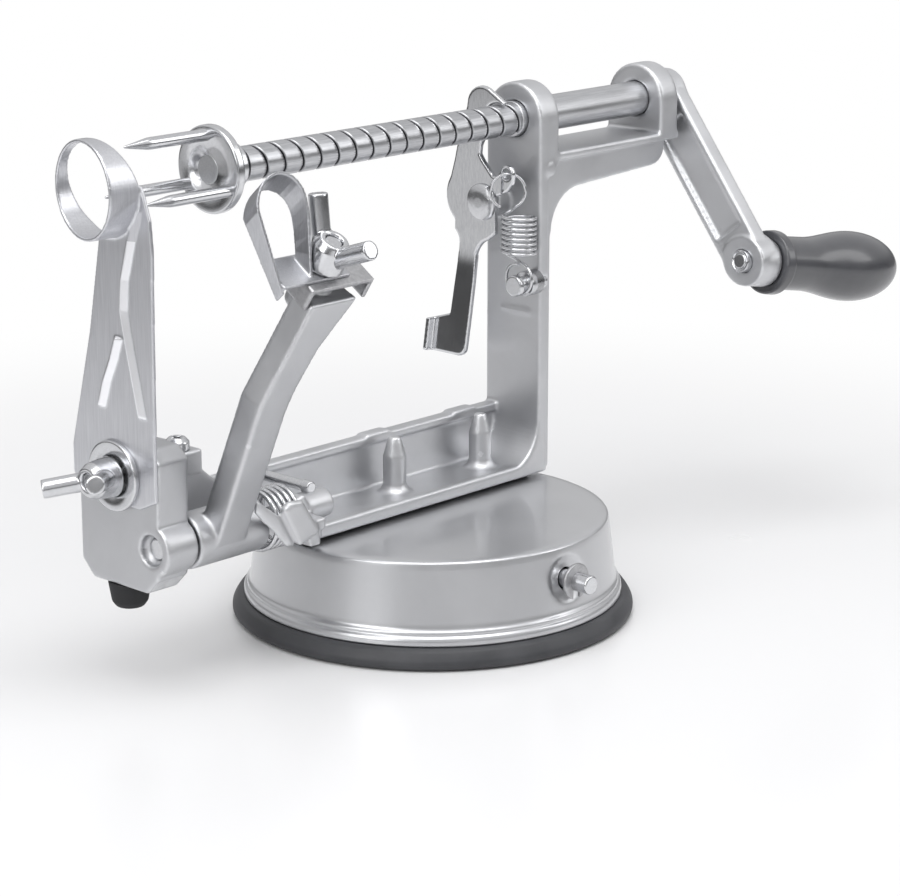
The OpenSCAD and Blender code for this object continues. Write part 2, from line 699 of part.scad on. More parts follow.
// Points up the strip's front edge: left leg, arch and the start of the right leg
function loop_path() = let (r = loop_r, x = loop_x, z = loop_z)
    concat([for (t = [0, 0.33, 0.67]) [x - r + 3.4 * (1 - t), loop_foot + (z - loop_foot) * t]],
        arc(x, z, r, 180, 0, 14), [[x + r, z - 3]]);

// Ring of four points round the strip at one point of its path
function strip_ring(path, i) =
    let (p = path[i], t = heading(path, i), slope = [0, cos(blade_slope), -sin(blade_slope)],
        front = [p[0], loop_y + loop_lean * (p[1] - seat_z + 3), p[1]],
        n = unit([-t[1], 0, t[0]]) * blade_t / 2, wide = blade_wide * min(1, 0.45 + 0.14 * i))
    [front + n, front - n, front - n + wide * slope, front + n + wide * slope];

// Ring where the right leg stands in the foot, and the rings that twist the strip down to it
function leg_rings(start) =
    let (x = loop_x + loop_r - 1.7, half = blade_t / 2, h = clip_h + clip_t + 0.3,
        front = clip_place(bolt_v - 3.6, h), rear = clip_place(bolt_v + 2.4, h),
        foot = [[x + half, front[0], front[1]], [x - half, front[0], front[1]],
            [x - half, rear[0], rear[1]], [x + half, rear[0], rear[1]]])
    [for (w = [0.3, 0.6, 0.85, 1]) start * (1 - w) + foot * w];

// Peeling blade: clamped foot with its slot, and the strip loop that scoops down and back
module peeling_blade() {
    foot = clip_h + clip_t;
    path = loop_path();
    rings = [for (i = [0:len(path) - 1]) strip_ring(path, i)];
    color("whitesmoke") union() {
        on_clip() difference() {
            block([loop_x - loop_r + 3.2, bolt_v - 4.4, foot],
                [bolt_x + 5.2, bolt_v + 4.4, foot + blade_t]);
            block([bolt_x - 2.5, bolt_v - bolt_d / 2, foot - 1],
                [bolt_x + 2.5, bolt_v + bolt_d / 2, foot + 2]);
        }
        lofted(concat(rings, leg_rings(rings[len(rings) - 1])));
    }
}

// Bolt in the arm that the wing nut clamps the blade with
module peeler_bolt() {
    color("gainsboro") on_clip() translate([bolt_x, bolt_v, arm_h - 5.2])
        cylinder(h = 5.2 + pad_h + clip_t + blade_t + 6.6, d = bolt_d);
}

// Wing nut on the peeling blade
module peeler_nut() {
    color("gainsboro") on_clip() translate([bolt_x, bolt_v, clip_h + clip_t + blade_t + seat])
        wing_nut(bolt_d / 2 + running, 91);
}

// Coring ring with its flat stem
module coring_blade() {
    y = axis_y;
    z = axis_z;
    outer = ring_d / 2 + blade_t;
    plate = 1;
    color("whitesmoke") difference() {
        union() {
            difference() {
                rod_x(block_x - ring_l - 4, block_x, y, z, outer);
                translate([block_x - 1.55, y, z]) rotate([0, -13.7, 5.4]) block([0, -30, -30], [12, 30, 30]);
            }
            along_x(block_x - plate, block_x) polygon([[y - 11.1, z + 1.6], [y - 12, z - 0.4],
                [y - 13.9, z - 6], [y - 14.5, z - 13.5], [y - 14.2, z - 21], [y - 13.6, z - 55],
                [y - 13.6, bolt_z - 4], [y - 8, bolt_z - 6.6],
                [y + 10, bolt_z - 6.6], [y + 14.6, bolt_z - 2], [y + 14.6, bolt_z + 5], [y + 7.4, z - 33.5],
                [y + 3, z - 11], [y, z - 5]]);
            for (band = [[[-12, -4], [-9.4, -11.4], [-6.9, -20], [-6.3, -27], [-7.6, -33.5], [-9.6, -42],
                [-11.6, -50.6]], [[-4.3, -33.4], [-2.4, -38.6], [0.2, -44], [2.2, -50]]])
                lofted([for (p = band) let (x = block_x - plate)
                    [[x + 0.3, y + p[0], z + p[1]], [x - 0.1, y + p[0] + 0.1, z + p[1]],
                        [x - 0.7, y + p[0] + 2.5, z + p[1]], [x + 0.3, y + p[0] + 3, z + p[1]]]]);
        }
        rod_x(block_x - ring_l - 5, block_x + 1, y, z, ring_d / 2);
        translate([block_x - ring_l, y + outer, z]) rotate([0, 0, -ring_slant])
            block([-12, -40, -20], [0, 12, 20]);
        rod_x(block_x - plate - 1, block_x + 1, y, bolt_z, bolt_d / 2 + 0.2);
        block([block_x - plate - 1, y - bolt_d / 2 - 0.2, bolt_z - 8],
            [block_x + 1, y + bolt_d / 2 + 0.2, bolt_z]);
    }
}

// Bolt through the block for the coring blade
module corer_bolt() {
    color("gainsboro") union() {
        rod_x(block_x - 8.8, block_x + block_t, axis_y, bolt_z, bolt_d / 2);
        translate([block_x + block_t, axis_y, bolt_z]) rotate([0, 90, 0]) cylinder(h = 2.6, r = 4, $fn = 6);
    }
}

// Large washer under the coring blade's wing nut
module corer_washer() {
    color("gainsboro") difference() {
        rod_x(block_x - 2.2, block_x - 1, axis_y, bolt_z, 8.2);
        rod_x(block_x - 3, block_x, axis_y, bolt_z, bolt_d / 2 + 0.2);
    }
}

// Wing nut on the coring blade
module corer_nut() {
    color("gainsboro") translate([block_x - 2.2 - seat, axis_y, bolt_z]) rotate([0, -90, 0])
        wing_nut(bolt_d / 2 + running, 104);
}

// Thin pad between the beam and the base
module base_pad() {
    color("black") difference() {
        block([pad_left, beam_front + 2, base_top], [column_x - 1.4, beam_back - 2, beam_z]);
        for (x = boss_x) translate([x, axis_y, base_top - 1]) cylinder(h = 3, r = base_screw_d / 2 + 0.2);
    }
}

// Pressed sheet housing with its rolled rim
module base_housing() {
    edge = 2;
    color("silver") difference() {
        rotate_extrude() polygon(concat(
            [[0, base_top - sheet], [top_r - edge, base_top - sheet], [top_r - sheet, base_top - edge - 0.4],
                [wall_r - sheet, rim_z + 3.2], [rim_r - 2, rim_z + 1.2], [rim_r - 2, rim_z], [rim_r, rim_z],
                [rim_r, rim_z + 1.8], [rim_r - 0.6, rim_z + 2.4], [wall_r, rim_z + 3.4]],
            arc(top_r - edge, base_top - edge, edge, 10, 90, 6), [[0, base_top]]));
        rod_y(-side_r - 2, side_r + 2, 0, axle_z, axle_d / 2 + clear);
        for (x = boss_x) translate([x, axis_y, base_top - 3]) cylinder(h = 5, r = base_screw_d / 2 + 0.2);
    }
}

// Rubber cup: thick ring, thin skin and an opening for the pull stem
module suction_cup() {
    color("dimgray") rotate_extrude() polygon([[core_r + 2.2, 3], [core_r + 2.2, 4.6], [rim_r - 4, 4.6],
        [rim_r - 4, rim_z], [rim_r + 0.6, rim_z], [cup_r - 0.8, 3.6], [cup_r, 2.2], [cup_r, 0.8],
        [cup_r - 0.8, 0], [cup_r - 3, 0],
        [cup_r - 6, 1.4], [cup_r - 14, 2.6]]);
}

// Rubber middle of the cup, on the stem's foot
module cup_core() {
    color("dimgray") translate([0, 0, 3 + lift]) cylinder(h = 1.6, r = core_r);
}

// Stem that pulls the cup's middle up, with its foot and the window for the cam
module pull_stem() {
    window = cam_r + 0.15;
    middle = axle_z + cam_e * sin(45);
    color("gray") difference() {
        union() {
            translate([0, 0, 4.6 + lift]) cylinder(h = 1.4, r = 7);
            along_y(-yoke_t / 2, yoke_t / 2) polygon([[-9, 4.6 + lift], [9, 4.6 + lift],
                [9, middle + window + 1.4], [-9, middle + window + 1.4]]);
        }
        block([-7.6, -yoke_t, middle - window], [7.6, yoke_t, middle + window]);
    }
}

// Axle across the base, with a groove for its clip
module cam_axle() {
    color("gainsboro") difference() {
        rod_y(axle_front, lever_y + 3, 0, axle_z, axle_d / 2);
        difference() {
            rod_y(clip_y - clip_w, clip_y, 0, axle_z, axle_d);
            rod_y(clip_y - 2 * clip_w, clip_y + clip_w, 0, axle_z, axle_d / 2 - 0.6);
        }
    }
}

// Eccentric cam on the axle
module cam() {
    color("gray") difference() {
        rod_y(-yoke_t / 2 - 0.5, yoke_t / 2 + 0.5, -cam_e * cos(45), axle_z + cam_e * sin(45), cam_r);
        rod_y(-yoke_t, yoke_t, 0, axle_z, axle_d / 2);
    }
}

// Flat lever on the axle's far end
module suction_lever() {
    color("lightgray") difference() {
        union() {
            rod_y(lever_y, lever_y + 3, 0, axle_z, 4.4);
            block([0, lever_y, axle_z - 3.4], [lever_l, lever_y + 3, axle_z + 3.4]);
        }
        rod_y(lever_y - 1, lever_y + 4, 0, axle_z, axle_d / 2);
    }
}

// Plastic sleeve on the suction lever
module lever_knob() {
    color("black") difference() {
        block([lever_l - 16, lever_y - 1.4, axle_z - 4.4], [lever_l + 3, lever_y + 4.4, axle_z + 4.4]);
        block([lever_l - 17, lever_y, axle_z - 3.4], [lever_l, lever_y + 3, axle_z + 3.4]);
    }
}

// Clip in the axle's groove
module axle_clip() {
    color("gray") difference() {
        rod_y(clip_y - clip_w, clip_y, 0, axle_z, 4.4);
        rod_y(clip_y - 2 * clip_w, clip_y + clip_w, 0, axle_z, axle_d / 2 - 0.6);
        block([-1.2, clip_y - 2 * clip_w, axle_z - 6], [1.2, clip_y + clip_w, axle_z - 1]);
    }
}

// Screw from inside the housing up into a boss of the beam
module base_screw(x) {
    color("gray") translate([x, axis_y, 0]) union() {
        translate([0, 0, base_top - sheet - 2.2]) cylinder(h = 2.2, r = 3.4);
        translate([0, 0, base_top - sheet - 1]) cylinder(h = boss_h - 1, r = base_screw_d / 2);
    }
}

module base_screw_left() {
    base_screw(boss_x[0]);
}

module base_screw_right() {
    base_screw(boss_x[1]);
}

frame();
blade_block();
block_screw();
bumper();
lead_screw();
screw_thread();
fork();
fork_pin();
thrust_washer();
crank_arm();
cross_pin();
grip_pin();
grip_collar();
grip();
release_lever();
lever_rivet();
lever_spring();
spring_anchor();
peeler_arm();
pivot_rod();
torsion_spring();
spring_pin();
blade_clip();
peeling_blade();
peeler_bolt();
peeler_nut();
coring_blade();
corer_bolt();
corer_washer();
corer_nut();
base_pad();
base_housing();
suction_cup();
cup_core();
pull_stem();
cam_axle();
cam();
suction_lever();
lever_knob();
axle_clip();
base_screw_left();
base_screw_right();
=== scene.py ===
import json
import math

import bmesh
import bpy
import numpy as np
from mathutils import Matrix, Vector


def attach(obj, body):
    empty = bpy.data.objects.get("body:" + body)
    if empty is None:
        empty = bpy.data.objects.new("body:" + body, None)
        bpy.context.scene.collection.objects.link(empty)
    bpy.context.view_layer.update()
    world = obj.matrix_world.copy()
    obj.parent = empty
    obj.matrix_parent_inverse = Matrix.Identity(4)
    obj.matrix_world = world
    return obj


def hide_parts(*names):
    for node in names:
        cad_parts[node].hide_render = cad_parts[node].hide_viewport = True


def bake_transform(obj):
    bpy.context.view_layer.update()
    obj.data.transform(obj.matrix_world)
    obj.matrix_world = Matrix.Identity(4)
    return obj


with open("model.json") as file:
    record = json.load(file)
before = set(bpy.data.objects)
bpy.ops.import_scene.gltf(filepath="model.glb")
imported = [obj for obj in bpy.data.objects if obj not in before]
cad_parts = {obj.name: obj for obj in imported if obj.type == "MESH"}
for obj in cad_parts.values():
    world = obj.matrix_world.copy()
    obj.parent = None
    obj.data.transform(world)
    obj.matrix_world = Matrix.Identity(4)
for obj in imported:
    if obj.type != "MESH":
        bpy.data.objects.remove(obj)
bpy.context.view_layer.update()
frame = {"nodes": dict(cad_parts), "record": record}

# Table, lens and room: the peeler stands on a white table top in a plain room with soft overhead light.
# The lens stands at the front left, a little above the screw, at the photograph's distance and angle.
# The room is bright but for a dim band round the horizon, which polished steel shows as its dark side.
MM = 0.001
LENS_TURN, LENS_TILT = 46.868, 15.417
scene = bpy.context.scene
scene.view_settings.view_transform = "Standard"
lens = bpy.data.cameras.new("lens")
lens.sensor_width, lens.lens, lens.clip_start = 36.0, 112.9, 0.02
camera = bpy.data.objects.new("camera", lens)
camera.location = (-0.48725, -0.46237, 0.22585)
camera.rotation_euler = (math.radians(90 - LENS_TILT), 0, math.radians(-LENS_TURN))
scene.collection.objects.link(camera)
scene.camera = camera

# Lines that several pieces share, in millimetres: lead screw, axle of the suction lever, pivot rod, beam's bosses
SCREW_AT, AXLE_AT, PIVOT_AT = (0, 9, 117), (0, 0, 16.6), (0, -1.1, 35.5)
BOSS_LEFT, BOSS_RIGHT, BOSS_Y = -4.2, 27.2, 9


def add(tree, kind, values=None, **settings):
    """New node of a tree, with its settings and the values of its inputs."""
    node = tree.nodes.new(kind)
    for key, value in settings.items():
        setattr(node, key, value)
    for key, value in (values or {}).items():
        node.inputs[key].default_value = value
    return node


def new_finish(name):
    """New material with its Principled shader: returns the material, its tree and the shader."""
    material = bpy.data.materials.new(name)
    material.use_nodes = True
    tree = material.node_tree
    tree.nodes.clear()
    shader = add(tree, "ShaderNodeBsdfPrincipled")
    out = add(tree, "ShaderNodeOutputMaterial")
    tree.links.new(shader.outputs[0], out.inputs[0])
    return material, tree, shader


table_top, tree, shader = new_finish("table_laminate")
shader.inputs["Specular IOR Level"].default_value = 0.35
haze = add(tree, "ShaderNodeTexNoise", {"Scale": 14.0, "Detail": 4.0})
spread = add(tree, "ShaderNodeMapRange", {"To Min": 0.2, "To Max": 0.3})
where = add(tree, "ShaderNodeTexCoord")
tree.links.new(where.outputs["Object"], haze.inputs["Vector"])
tree.links.new(haze.outputs["Fac"], spread.inputs["Value"])
tree.links.new(spread.outputs["Result"], shader.inputs["Roughness"])
reach = add(tree, "ShaderNodeVectorMath", operation="LENGTH")
fade = add(tree, "ShaderNodeMapRange", {"From Min": 0.13, "From Max": 0.34}, interpolation_type="SMOOTHSTEP")
rays = add(tree, "ShaderNodeLightPath")
paper = add(tree, "ShaderNodeMix", data_type="RGBA")
paper.inputs["A"].default_value = (0.75, 0.75, 0.755, 1)
paper.inputs["B"].default_value = (0.70, 0.70, 0.705, 1)
tree.links.new(rays.outputs["Is Camera Ray"], paper.inputs["Factor"])
tree.links.new(paper.outputs["Result"], shader.inputs["Base Color"])
seen = add(tree, "ShaderNodeMath", operation="MULTIPLY")
blank = add(tree, "ShaderNodeEmission", {"Color": (1, 1, 1, 1), "Strength": 1.0})
blend = add(tree, "ShaderNodeMixShader")
tree.links.new(where.outputs["Object"], reach.inputs[0])
tree.links.new(reach.outputs["Value"], fade.inputs["Value"])
tree.links.new(fade.outputs["Result"], seen.inputs[0])
tree.links.new(rays.outputs["Is Camera Ray"], seen.inputs[1])
tree.links.new(seen.outputs[0], blend.inputs["Fac"])
tree.links.new(shader.outputs[0], blend.inputs[1])
tree.links.new(blank.outputs[0], blend.inputs[2])
tree.links.new(blend.outputs[0], tree.nodes["Material Output"].inputs[0])
ahead = Vector((math.sin(math.radians(LENS_TURN)), math.cos(math.radians(LENS_TURN)), 0))
aside = Vector((ahead.y, -ahead.x, 0))
sheet = bpy.data.meshes.new("table")
near_end, far_end, left, right, drop = -1.2, 5.0, -0.38, 0.52, Vector((0, 0, -0.0002))
sheet.from_pydata([ahead * a + aside * b + drop for a, b in
                   ((near_end, left), (near_end, right), (far_end, right), (far_end, left))], [], [(0, 1, 2, 3)])
table = bpy.data.objects.new("table", sheet)
sheet.materials.append(table_top)
scene.collection.objects.link(table)

room = bpy.data.worlds.new("room")
room.use_nodes = True
tree = room.node_tree
tree.nodes.clear()
where = add(tree, "ShaderNodeTexCoord")
height = add(tree, "ShaderNodeSeparateXYZ")
half = add(tree, "ShaderNodeMapRange", {"From Min": -1.0, "From Max": 1.0})
shades = add(tree, "ShaderNodeValToRGB")
room_tones = ((0.0, 0.75), (0.425, 0.75), (0.442, 0.1), (0.49, 0.1), (0.53, 0.22), (0.62, 0.75), (1.0, 1.0))
while len(shades.color_ramp.elements) < len(room_tones):
    shades.color_ramp.elements.new(0.5)
for stop, (place, grey) in zip(shades.color_ramp.elements, room_tones):
    stop.position, stop.color = place, (grey, grey, grey * 1.01, 1)
light = add(tree, "ShaderNodeBackground", {"Strength": 0.9})
out = add(tree, "ShaderNodeOutputWorld")
tree.links.new(where.outputs["Generated"], height.inputs[0])
tree.links.new(height.outputs["Z"], half.inputs["Value"])
tree.links.new(half.outputs["Result"], shades.inputs["Fac"])
tree.links.new(shades.outputs["Color"], light.inputs["Color"])
blank = add(tree, "ShaderNodeBackground", {"Color": (1, 1, 1, 1), "Strength": 1.0})
rays = add(tree, "ShaderNodeLightPath")
blend = add(tree, "ShaderNodeMixShader")
tree.links.new(rays.outputs["Is Camera Ray"], blend.inputs["Fac"])
tree.links.new(light.outputs[0], blend.inputs[1])
tree.links.new(blank.outputs[0], blend.inputs[2])
tree.links.new(blend.outputs[0], out.inputs[0])
scene.world = room

for name, place, aim, wide, tall, watts in (
        ("overhead_softbox", (-0.15, -0.25, 0.95), (0, 0, 0.05), 0.9, 0.7, 6.0),
        ("left_softbox", (-1.0, -0.1, 0.55), (0, 0, 0.06), 0.5, 0.8, 4.0),
        ("right_softbox", (0.65, -0.75, 0.6), (0, 0, 0.06), 0.35, 0.7, 1.8)):
    lamp = bpy.data.lights.new(name, "AREA")
    lamp.shape, lamp.size, lamp.size_y, lamp.energy = "RECTANGLE", wide, tall, watts
    box = bpy.data.objects.new(name, lamp)
    box.location = place
    box.rotation_euler = (Vector(aim) - Vector(place)).to_track_quat("-Z", "Y").to_euler()
    scene.collection.objects.link(box)


# Suction base housing: deep-drawn sheet steel, its edge rolled out into a double bead that grips the rubber.
# It is sprayed silver and clear lacquered; the axle comes out of a pressed dimple in its front.
def eased(points, radius, steps=4):
    """Outline with its inner corners rounded off, and a point close on each side of every rounding."""
    out = [points[0]]
    for before, corner, after in zip(points, points[1:], points[2:]):
        c, a, b = (np.array(p[:2], float) for p in (corner, before, after))
        r = corner[2] if len(corner) > 2 else radius
        la, lb = np.linalg.norm(a - c), np.linalg.norm(b - c)
        if r <= 0 or min(la, lb) < 1e-6:
            out.append(tuple(c))
            continue
        ta, tb = (a - c) / la * min(r, 0.42 * la), (b - c) / lb * min(r, 0.42 * lb)
        out.append(tuple(c + 1.15 * ta))
        for i in range(steps + 1):
            t = i / steps
            out.append(tuple((1 - t) ** 2 * (c + ta) + 2 * t * (1 - t) * c + t * t * (c + tb)))
        out.append(tuple(c + 1.15 * tb))
    return out + [tuple(points[-1][:2])]


def turned(name, outline, at, axis, sides=96, closed=False):
    """Round piece from an outline of (length along the axis, radius), in millimetres."""
    w = Vector(axis).normalized()
    u = w.orthogonal().normalized()
    v = w.cross(u)
    bm = bmesh.new()
    rings = []
    for a, r in outline:
        c = Vector(at) + w * a
        turns = [2 * math.pi * k / sides for k in range(sides)] if r > 1e-6 else [0.0]
        rings.append([bm.verts.new((c + (u * math.cos(t) + v * math.sin(t)) * r) * MM) for t in turns])
    for low, high in zip(rings, rings[1:] + ([rings[0]] if closed else [])):
        for k in range(max(len(low), len(high))):
            n = (k + 1) % max(len(low), len(high))
            ring = [low[k % len(low)], low[n % len(low)], high[n % len(high)], high[k % len(high)]]
            ring = list(dict.fromkeys(ring))
            if len(ring) > 2:
                bm.faces.new(ring)
    bmesh.ops.recalc_face_normals(bm, faces=bm.faces)
    mesh = bpy.data.meshes.new(name)
    bm.to_mesh(mesh)
    bm.free()
    mesh.shade_smooth()
    piece = bpy.data.objects.new(name, mesh)
    scene.collection.objects.link(piece)
    return piece


home = {node: body for body, nodes in frame["record"]["behaviour"]["bodies"].items() for node in nodes}


def fitted(piece, node, slot, finish, *more):
    """Gives a finished piece its material and the body that it moves with, and hides the nodes that it stands for.
    """
    piece.data.materials.clear()
    piece.data.materials.append(finish)
    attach(piece, home[node])
    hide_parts(node, *more)


def settled(piece):
    """Gives a piece the mesh that its modifiers make of it, and takes the modifiers off."""
    mesh = bpy.data.meshes.new_from_object(piece.evaluated_get(bpy.context.evaluated_depsgraph_get()))
    piece.modifiers.clear()
    piece.data = mesh
    return mesh


def strung(piece, node, finish):
    """Gives a spring its finish, bakes its placing into its mesh and hides the node that it stands for."""
    piece.data.materials.clear()
    piece.data.materials.append(finish)
    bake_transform(piece)
    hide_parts(node)


def effect(name, inputs, outputs):
    """New shader node group with its named sockets: returns the group, its input and its output node."""
    group = bpy.data.node_groups.new(name, "ShaderNodeTree")
    for label, value in inputs.items():
        kind = "NodeSocketVector" if isinstance(value, tuple) else "NodeSocketFloat"
        group.interface.new_socket(label, in_out="INPUT", socket_type=kind).default_value = value
    for label in outputs:
        group.interface.new_socket(label, in_out="OUTPUT", socket_type="NodeSocketFloat")
    return group, group.nodes.new("NodeGroupInput"), group.nodes.new("NodeGroupOutput")


# Fine skin with slow cloudy patches, for cast, sprayed and moulded surfaces
skin, given, result = effect("skin", {"Vector": (0.0, 0.0, 0.0), "Grain": 2500.0, "Clouds": 45.0},
                             ("Cloud", "Grain"))
grain = add(skin, "ShaderNodeTexNoise", {"Detail": 3.0, "Roughness": 0.6})
cloud = add(skin, "ShaderNodeTexNoise", {"Detail": 5.0, "Roughness": 0.55, "Distortion": 0.4})
clear = add(skin, "ShaderNodeMapRange", {"From Min": 0.34, "From Max": 0.66})
for node, size in ((grain, "Grain"), (cloud, "Clouds")):
    skin.links.new(given.outputs["Vector"], node.inputs["Vector"])
    skin.links.new(given.outputs[size], node.inputs["Scale"])
skin.links.new(cloud.outputs["Fac"], clear.inputs["Value"])
skin.links.new(clear.outputs["Result"], result.inputs["Cloud"])
skin.links.new(grain.outputs["Fac"], result.inputs["Grain"])

# Edges that handling has rubbed bright, broken up by a little noise
rub, given, result = effect("edge_rub", {"Vector": (0.0, 0.0, 0.0), "From": 0.51, "To": 0.57}, ("Edge",))
form = add(rub, "ShaderNodeNewGeometry")
reach = add(rub, "ShaderNodeMapRange")
patch = add(rub, "ShaderNodeTexNoise", {"Scale": 400.0, "Detail": 3.0})
some = add(rub, "ShaderNodeMapRange", {"From Min": 0.3, "From Max": 0.6, "To Min": 0.35})
both = add(rub, "ShaderNodeMath", operation="MULTIPLY")
rub.links.new(form.outputs["Pointiness"], reach.inputs["Value"])
rub.links.new(given.outputs["From"], reach.inputs["From Min"])
rub.links.new(given.outputs["To"], reach.inputs["From Max"])
rub.links.new(given.outputs["Vector"], patch.inputs["Vector"])
rub.links.new(patch.outputs["Fac"], some.inputs["Value"])
rub.links.new(reach.outputs["Result"], both.inputs[0])
rub.links.new(some.outputs["Result"], both.inputs[1])
rub.links.new(both.outputs[0], result.inputs["Edge"])


def skinned(name, dark, pale, rough, metal, grain=2500.0, clouds=45.0, bump=0.1, edge=None, coat=0.0, gloss=0.08):
    """Cast, sprayed or moulded finish: cloudy colour between two tones, fine grain and rubbed edges."""
    material, tree, shader = new_finish(name)
    shader.inputs["Metallic"].default_value = metal
    shader.inputs["Coat Weight"].default_value = coat
    shader.inputs["Coat Roughness"].default_value = gloss
    where = add(tree, "ShaderNodeTexCoord")
    face = add(tree, "ShaderNodeGroup", node_tree=skin)
    face.inputs["Grain"].default_value, face.inputs["Clouds"].default_value = grain, clouds
    tone = add(tree, "ShaderNodeMix", data_type="RGBA")
    tone.inputs["A"].default_value, tone.inputs["B"].default_value = (*dark, 1), (*pale, 1)
    dull = add(tree, "ShaderNodeMapRange", {"To Min": rough[0], "To Max": rough[1]})
    bumps = add(tree, "ShaderNodeBump", {"Strength": bump, "Distance": 0.0002})
    tree.links.new(where.outputs["Object"], face.inputs["Vector"])
    tree.links.new(face.outputs["Cloud"], tone.inputs["Factor"])
    tree.links.new(face.outputs["Cloud"], dull.inputs["Value"])
    tree.links.new(face.outputs["Grain"], bumps.inputs["Height"])
    tree.links.new(bumps.outputs[0], shader.inputs["Normal"])
    tree.links.new(dull.outputs["Result"], shader.inputs["Roughness"])
    colour = tone.outputs["Result"]
    if edge:
        worn = add(tree, "ShaderNodeGroup", node_tree=rub)
        shine = add(tree, "ShaderNodeMix", data_type="RGBA")
        shine.inputs["B"].default_value = (*edge, 1)
        tree.links.new(where.outputs["Object"], worn.inputs["Vector"])
        tree.links.new(worn.outputs["Edge"], shine.inputs["Factor"])
        tree.links.new(colour, shine.inputs["A"])
        colour = shine.outputs["Result"]
    tree.links.new(colour, shader.inputs["Base Color"])
    return material


silver_lacquer = skinned("silver_lacquer", (0.50, 0.505, 0.52), (0.56, 0.565, 0.58), (0.30, 0.37), 0.9,
                         grain=1500.0, clouds=30.0, bump=0.004, coat=0.6, gloss=0.1)
wall = [(25.0, 0.0), (25.0, 20.0, 0), (25.0, 43.4, 2.6)]
wall += [(24.6 - 15.6 * i / 24, 43.6 + 2.0 * i / 24, 0) for i in range(2, 24)]
wall += [(8.9, 45.7, 0.5), (8.2, 46.3, 0.4), (7.5, 46.2, 0.3), (7.1, 46.8, 0.4), (6.3, 47.1, 0.5), (5.2, 47.1, 0.3),
         (5.0, 46.7, 0.2), (5.0, 45.2, 0.2), (6.2, 45.0, 0.2), (8.2, 44.5, 0)]
wall += [(8.2 + 14.2 * i / 20, 44.5 - 2.1 * i / 20, 0) for i in range(1, 20)]
wall += [(23.8, 42.0, 1.4), (23.8, 20.0, 0), (23.8, 0.0)]
housing = turned("base_housing_pressing", eased(wall, 0.5, 5), (0, 0, 0), (0, 0, 1), 224)
dimple_r, dimple_deep, dimple_edge, hole_r = 5.8, 0.9, 2.2, 2.75
for corner in housing.data.vertices:
    p = corner.co / MM
    out = math.hypot(p.x, p.z - AXLE_AT[2])
    if p.y < -30 and out < dimple_r:
        corner.co.y += dimple_deep * MM * min(1.0, (dimple_r - out) / dimple_edge) ** 0.7
drill = turned("drill", [(-60, 0), (-60, hole_r), (-30, hole_r), (-30, 0)], AXLE_AT, (0, 1, 0), 48)
cut = housing.modifiers.new("axle_hole", "BOOLEAN")
cut.object, cut.operation, cut.solver = drill, "DIFFERENCE", "EXACT"
settled(housing)
bpy.data.objects.remove(drill)
fitted(housing, "base_housing", "base_lacquer", silver_lacquer)


# Rubber cup: moulded black rubber with a thick lip round the housing's bead and a thin skin below it.
# Its middle is bonded to the foot of the pull stem.
black_rubber = skinned("black_rubber", (0.028, 0.029, 0.033), (0.052, 0.053, 0.058), (0.46, 0.62), 0.0,
                       grain=3500.0, clouds=60.0, bump=0.16)
lip = [(3.0, 10.8), (4.6, 10.8, 0.2), (4.6, 43.1, 0.2), (5.0, 43.3, 0.2), (5.0, 47.6, 0.3), (4.5, 48.6, 0.4),
       (3.5, 49.3, 0.6), (2.2, 50.0, 0.6), (0.8, 50.0, 0.6), (0.05, 49.2, 0.5), (0.05, 47.0, 0.6), (1.4, 44.0, 1.0),
       (2.6, 36.0, 3.0), (3.0, 10.8)]
fitted(turned("suction_cup_moulding", eased(lip, 0.4)[:-1], (0, 0, 0), (0, 0, 1), 192, True),
       "suction_cup", "rubber", black_rubber)
pad = [(4.8, 0), (4.8, 8.6, 0.4), (6.4, 8.6, 0.4), (6.4, 0)]
fitted(turned("cup_core_pad", eased(pad, 0.4), (0, 0, 0), (0, 0, 1)), "cup_core", "rubber", black_rubber)


# Axle of the suction lever: turned and zinc plated, held in front by a spring clip in its groove.
# The lever and its plastic sleeve sit on the far end; the cam and the pull stem hide in the housing.
ground, given, result = effect("tool_marks", {"Vector": (0.0, 0.0, 0.0), "Stretch": (60.0, 6000.0, 6000.0)},
                               ("Line", "Haze"))
turnby = add(ground, "ShaderNodeVectorMath", operation="MULTIPLY")
lines = add(ground, "ShaderNodeTexNoise", {"Scale": 1.0, "Detail": 4.0, "Roughness": 0.65})
smear = add(ground, "ShaderNodeTexNoise", {"Scale": 70.0, "Detail": 4.0, "Distortion": 0.6})
ground.links.new(given.outputs["Vector"], turnby.inputs[0])
ground.links.new(given.outputs["Stretch"], turnby.inputs[1])
ground.links.new(turnby.outputs[0], lines.inputs["Vector"])
ground.links.new(given.outputs["Vector"], smear.inputs["Vector"])
ground.links.new(lines.outputs["Fac"], result.inputs["Line"])
ground.links.new(smear.outputs["Fac"], result.inputs["Haze"])


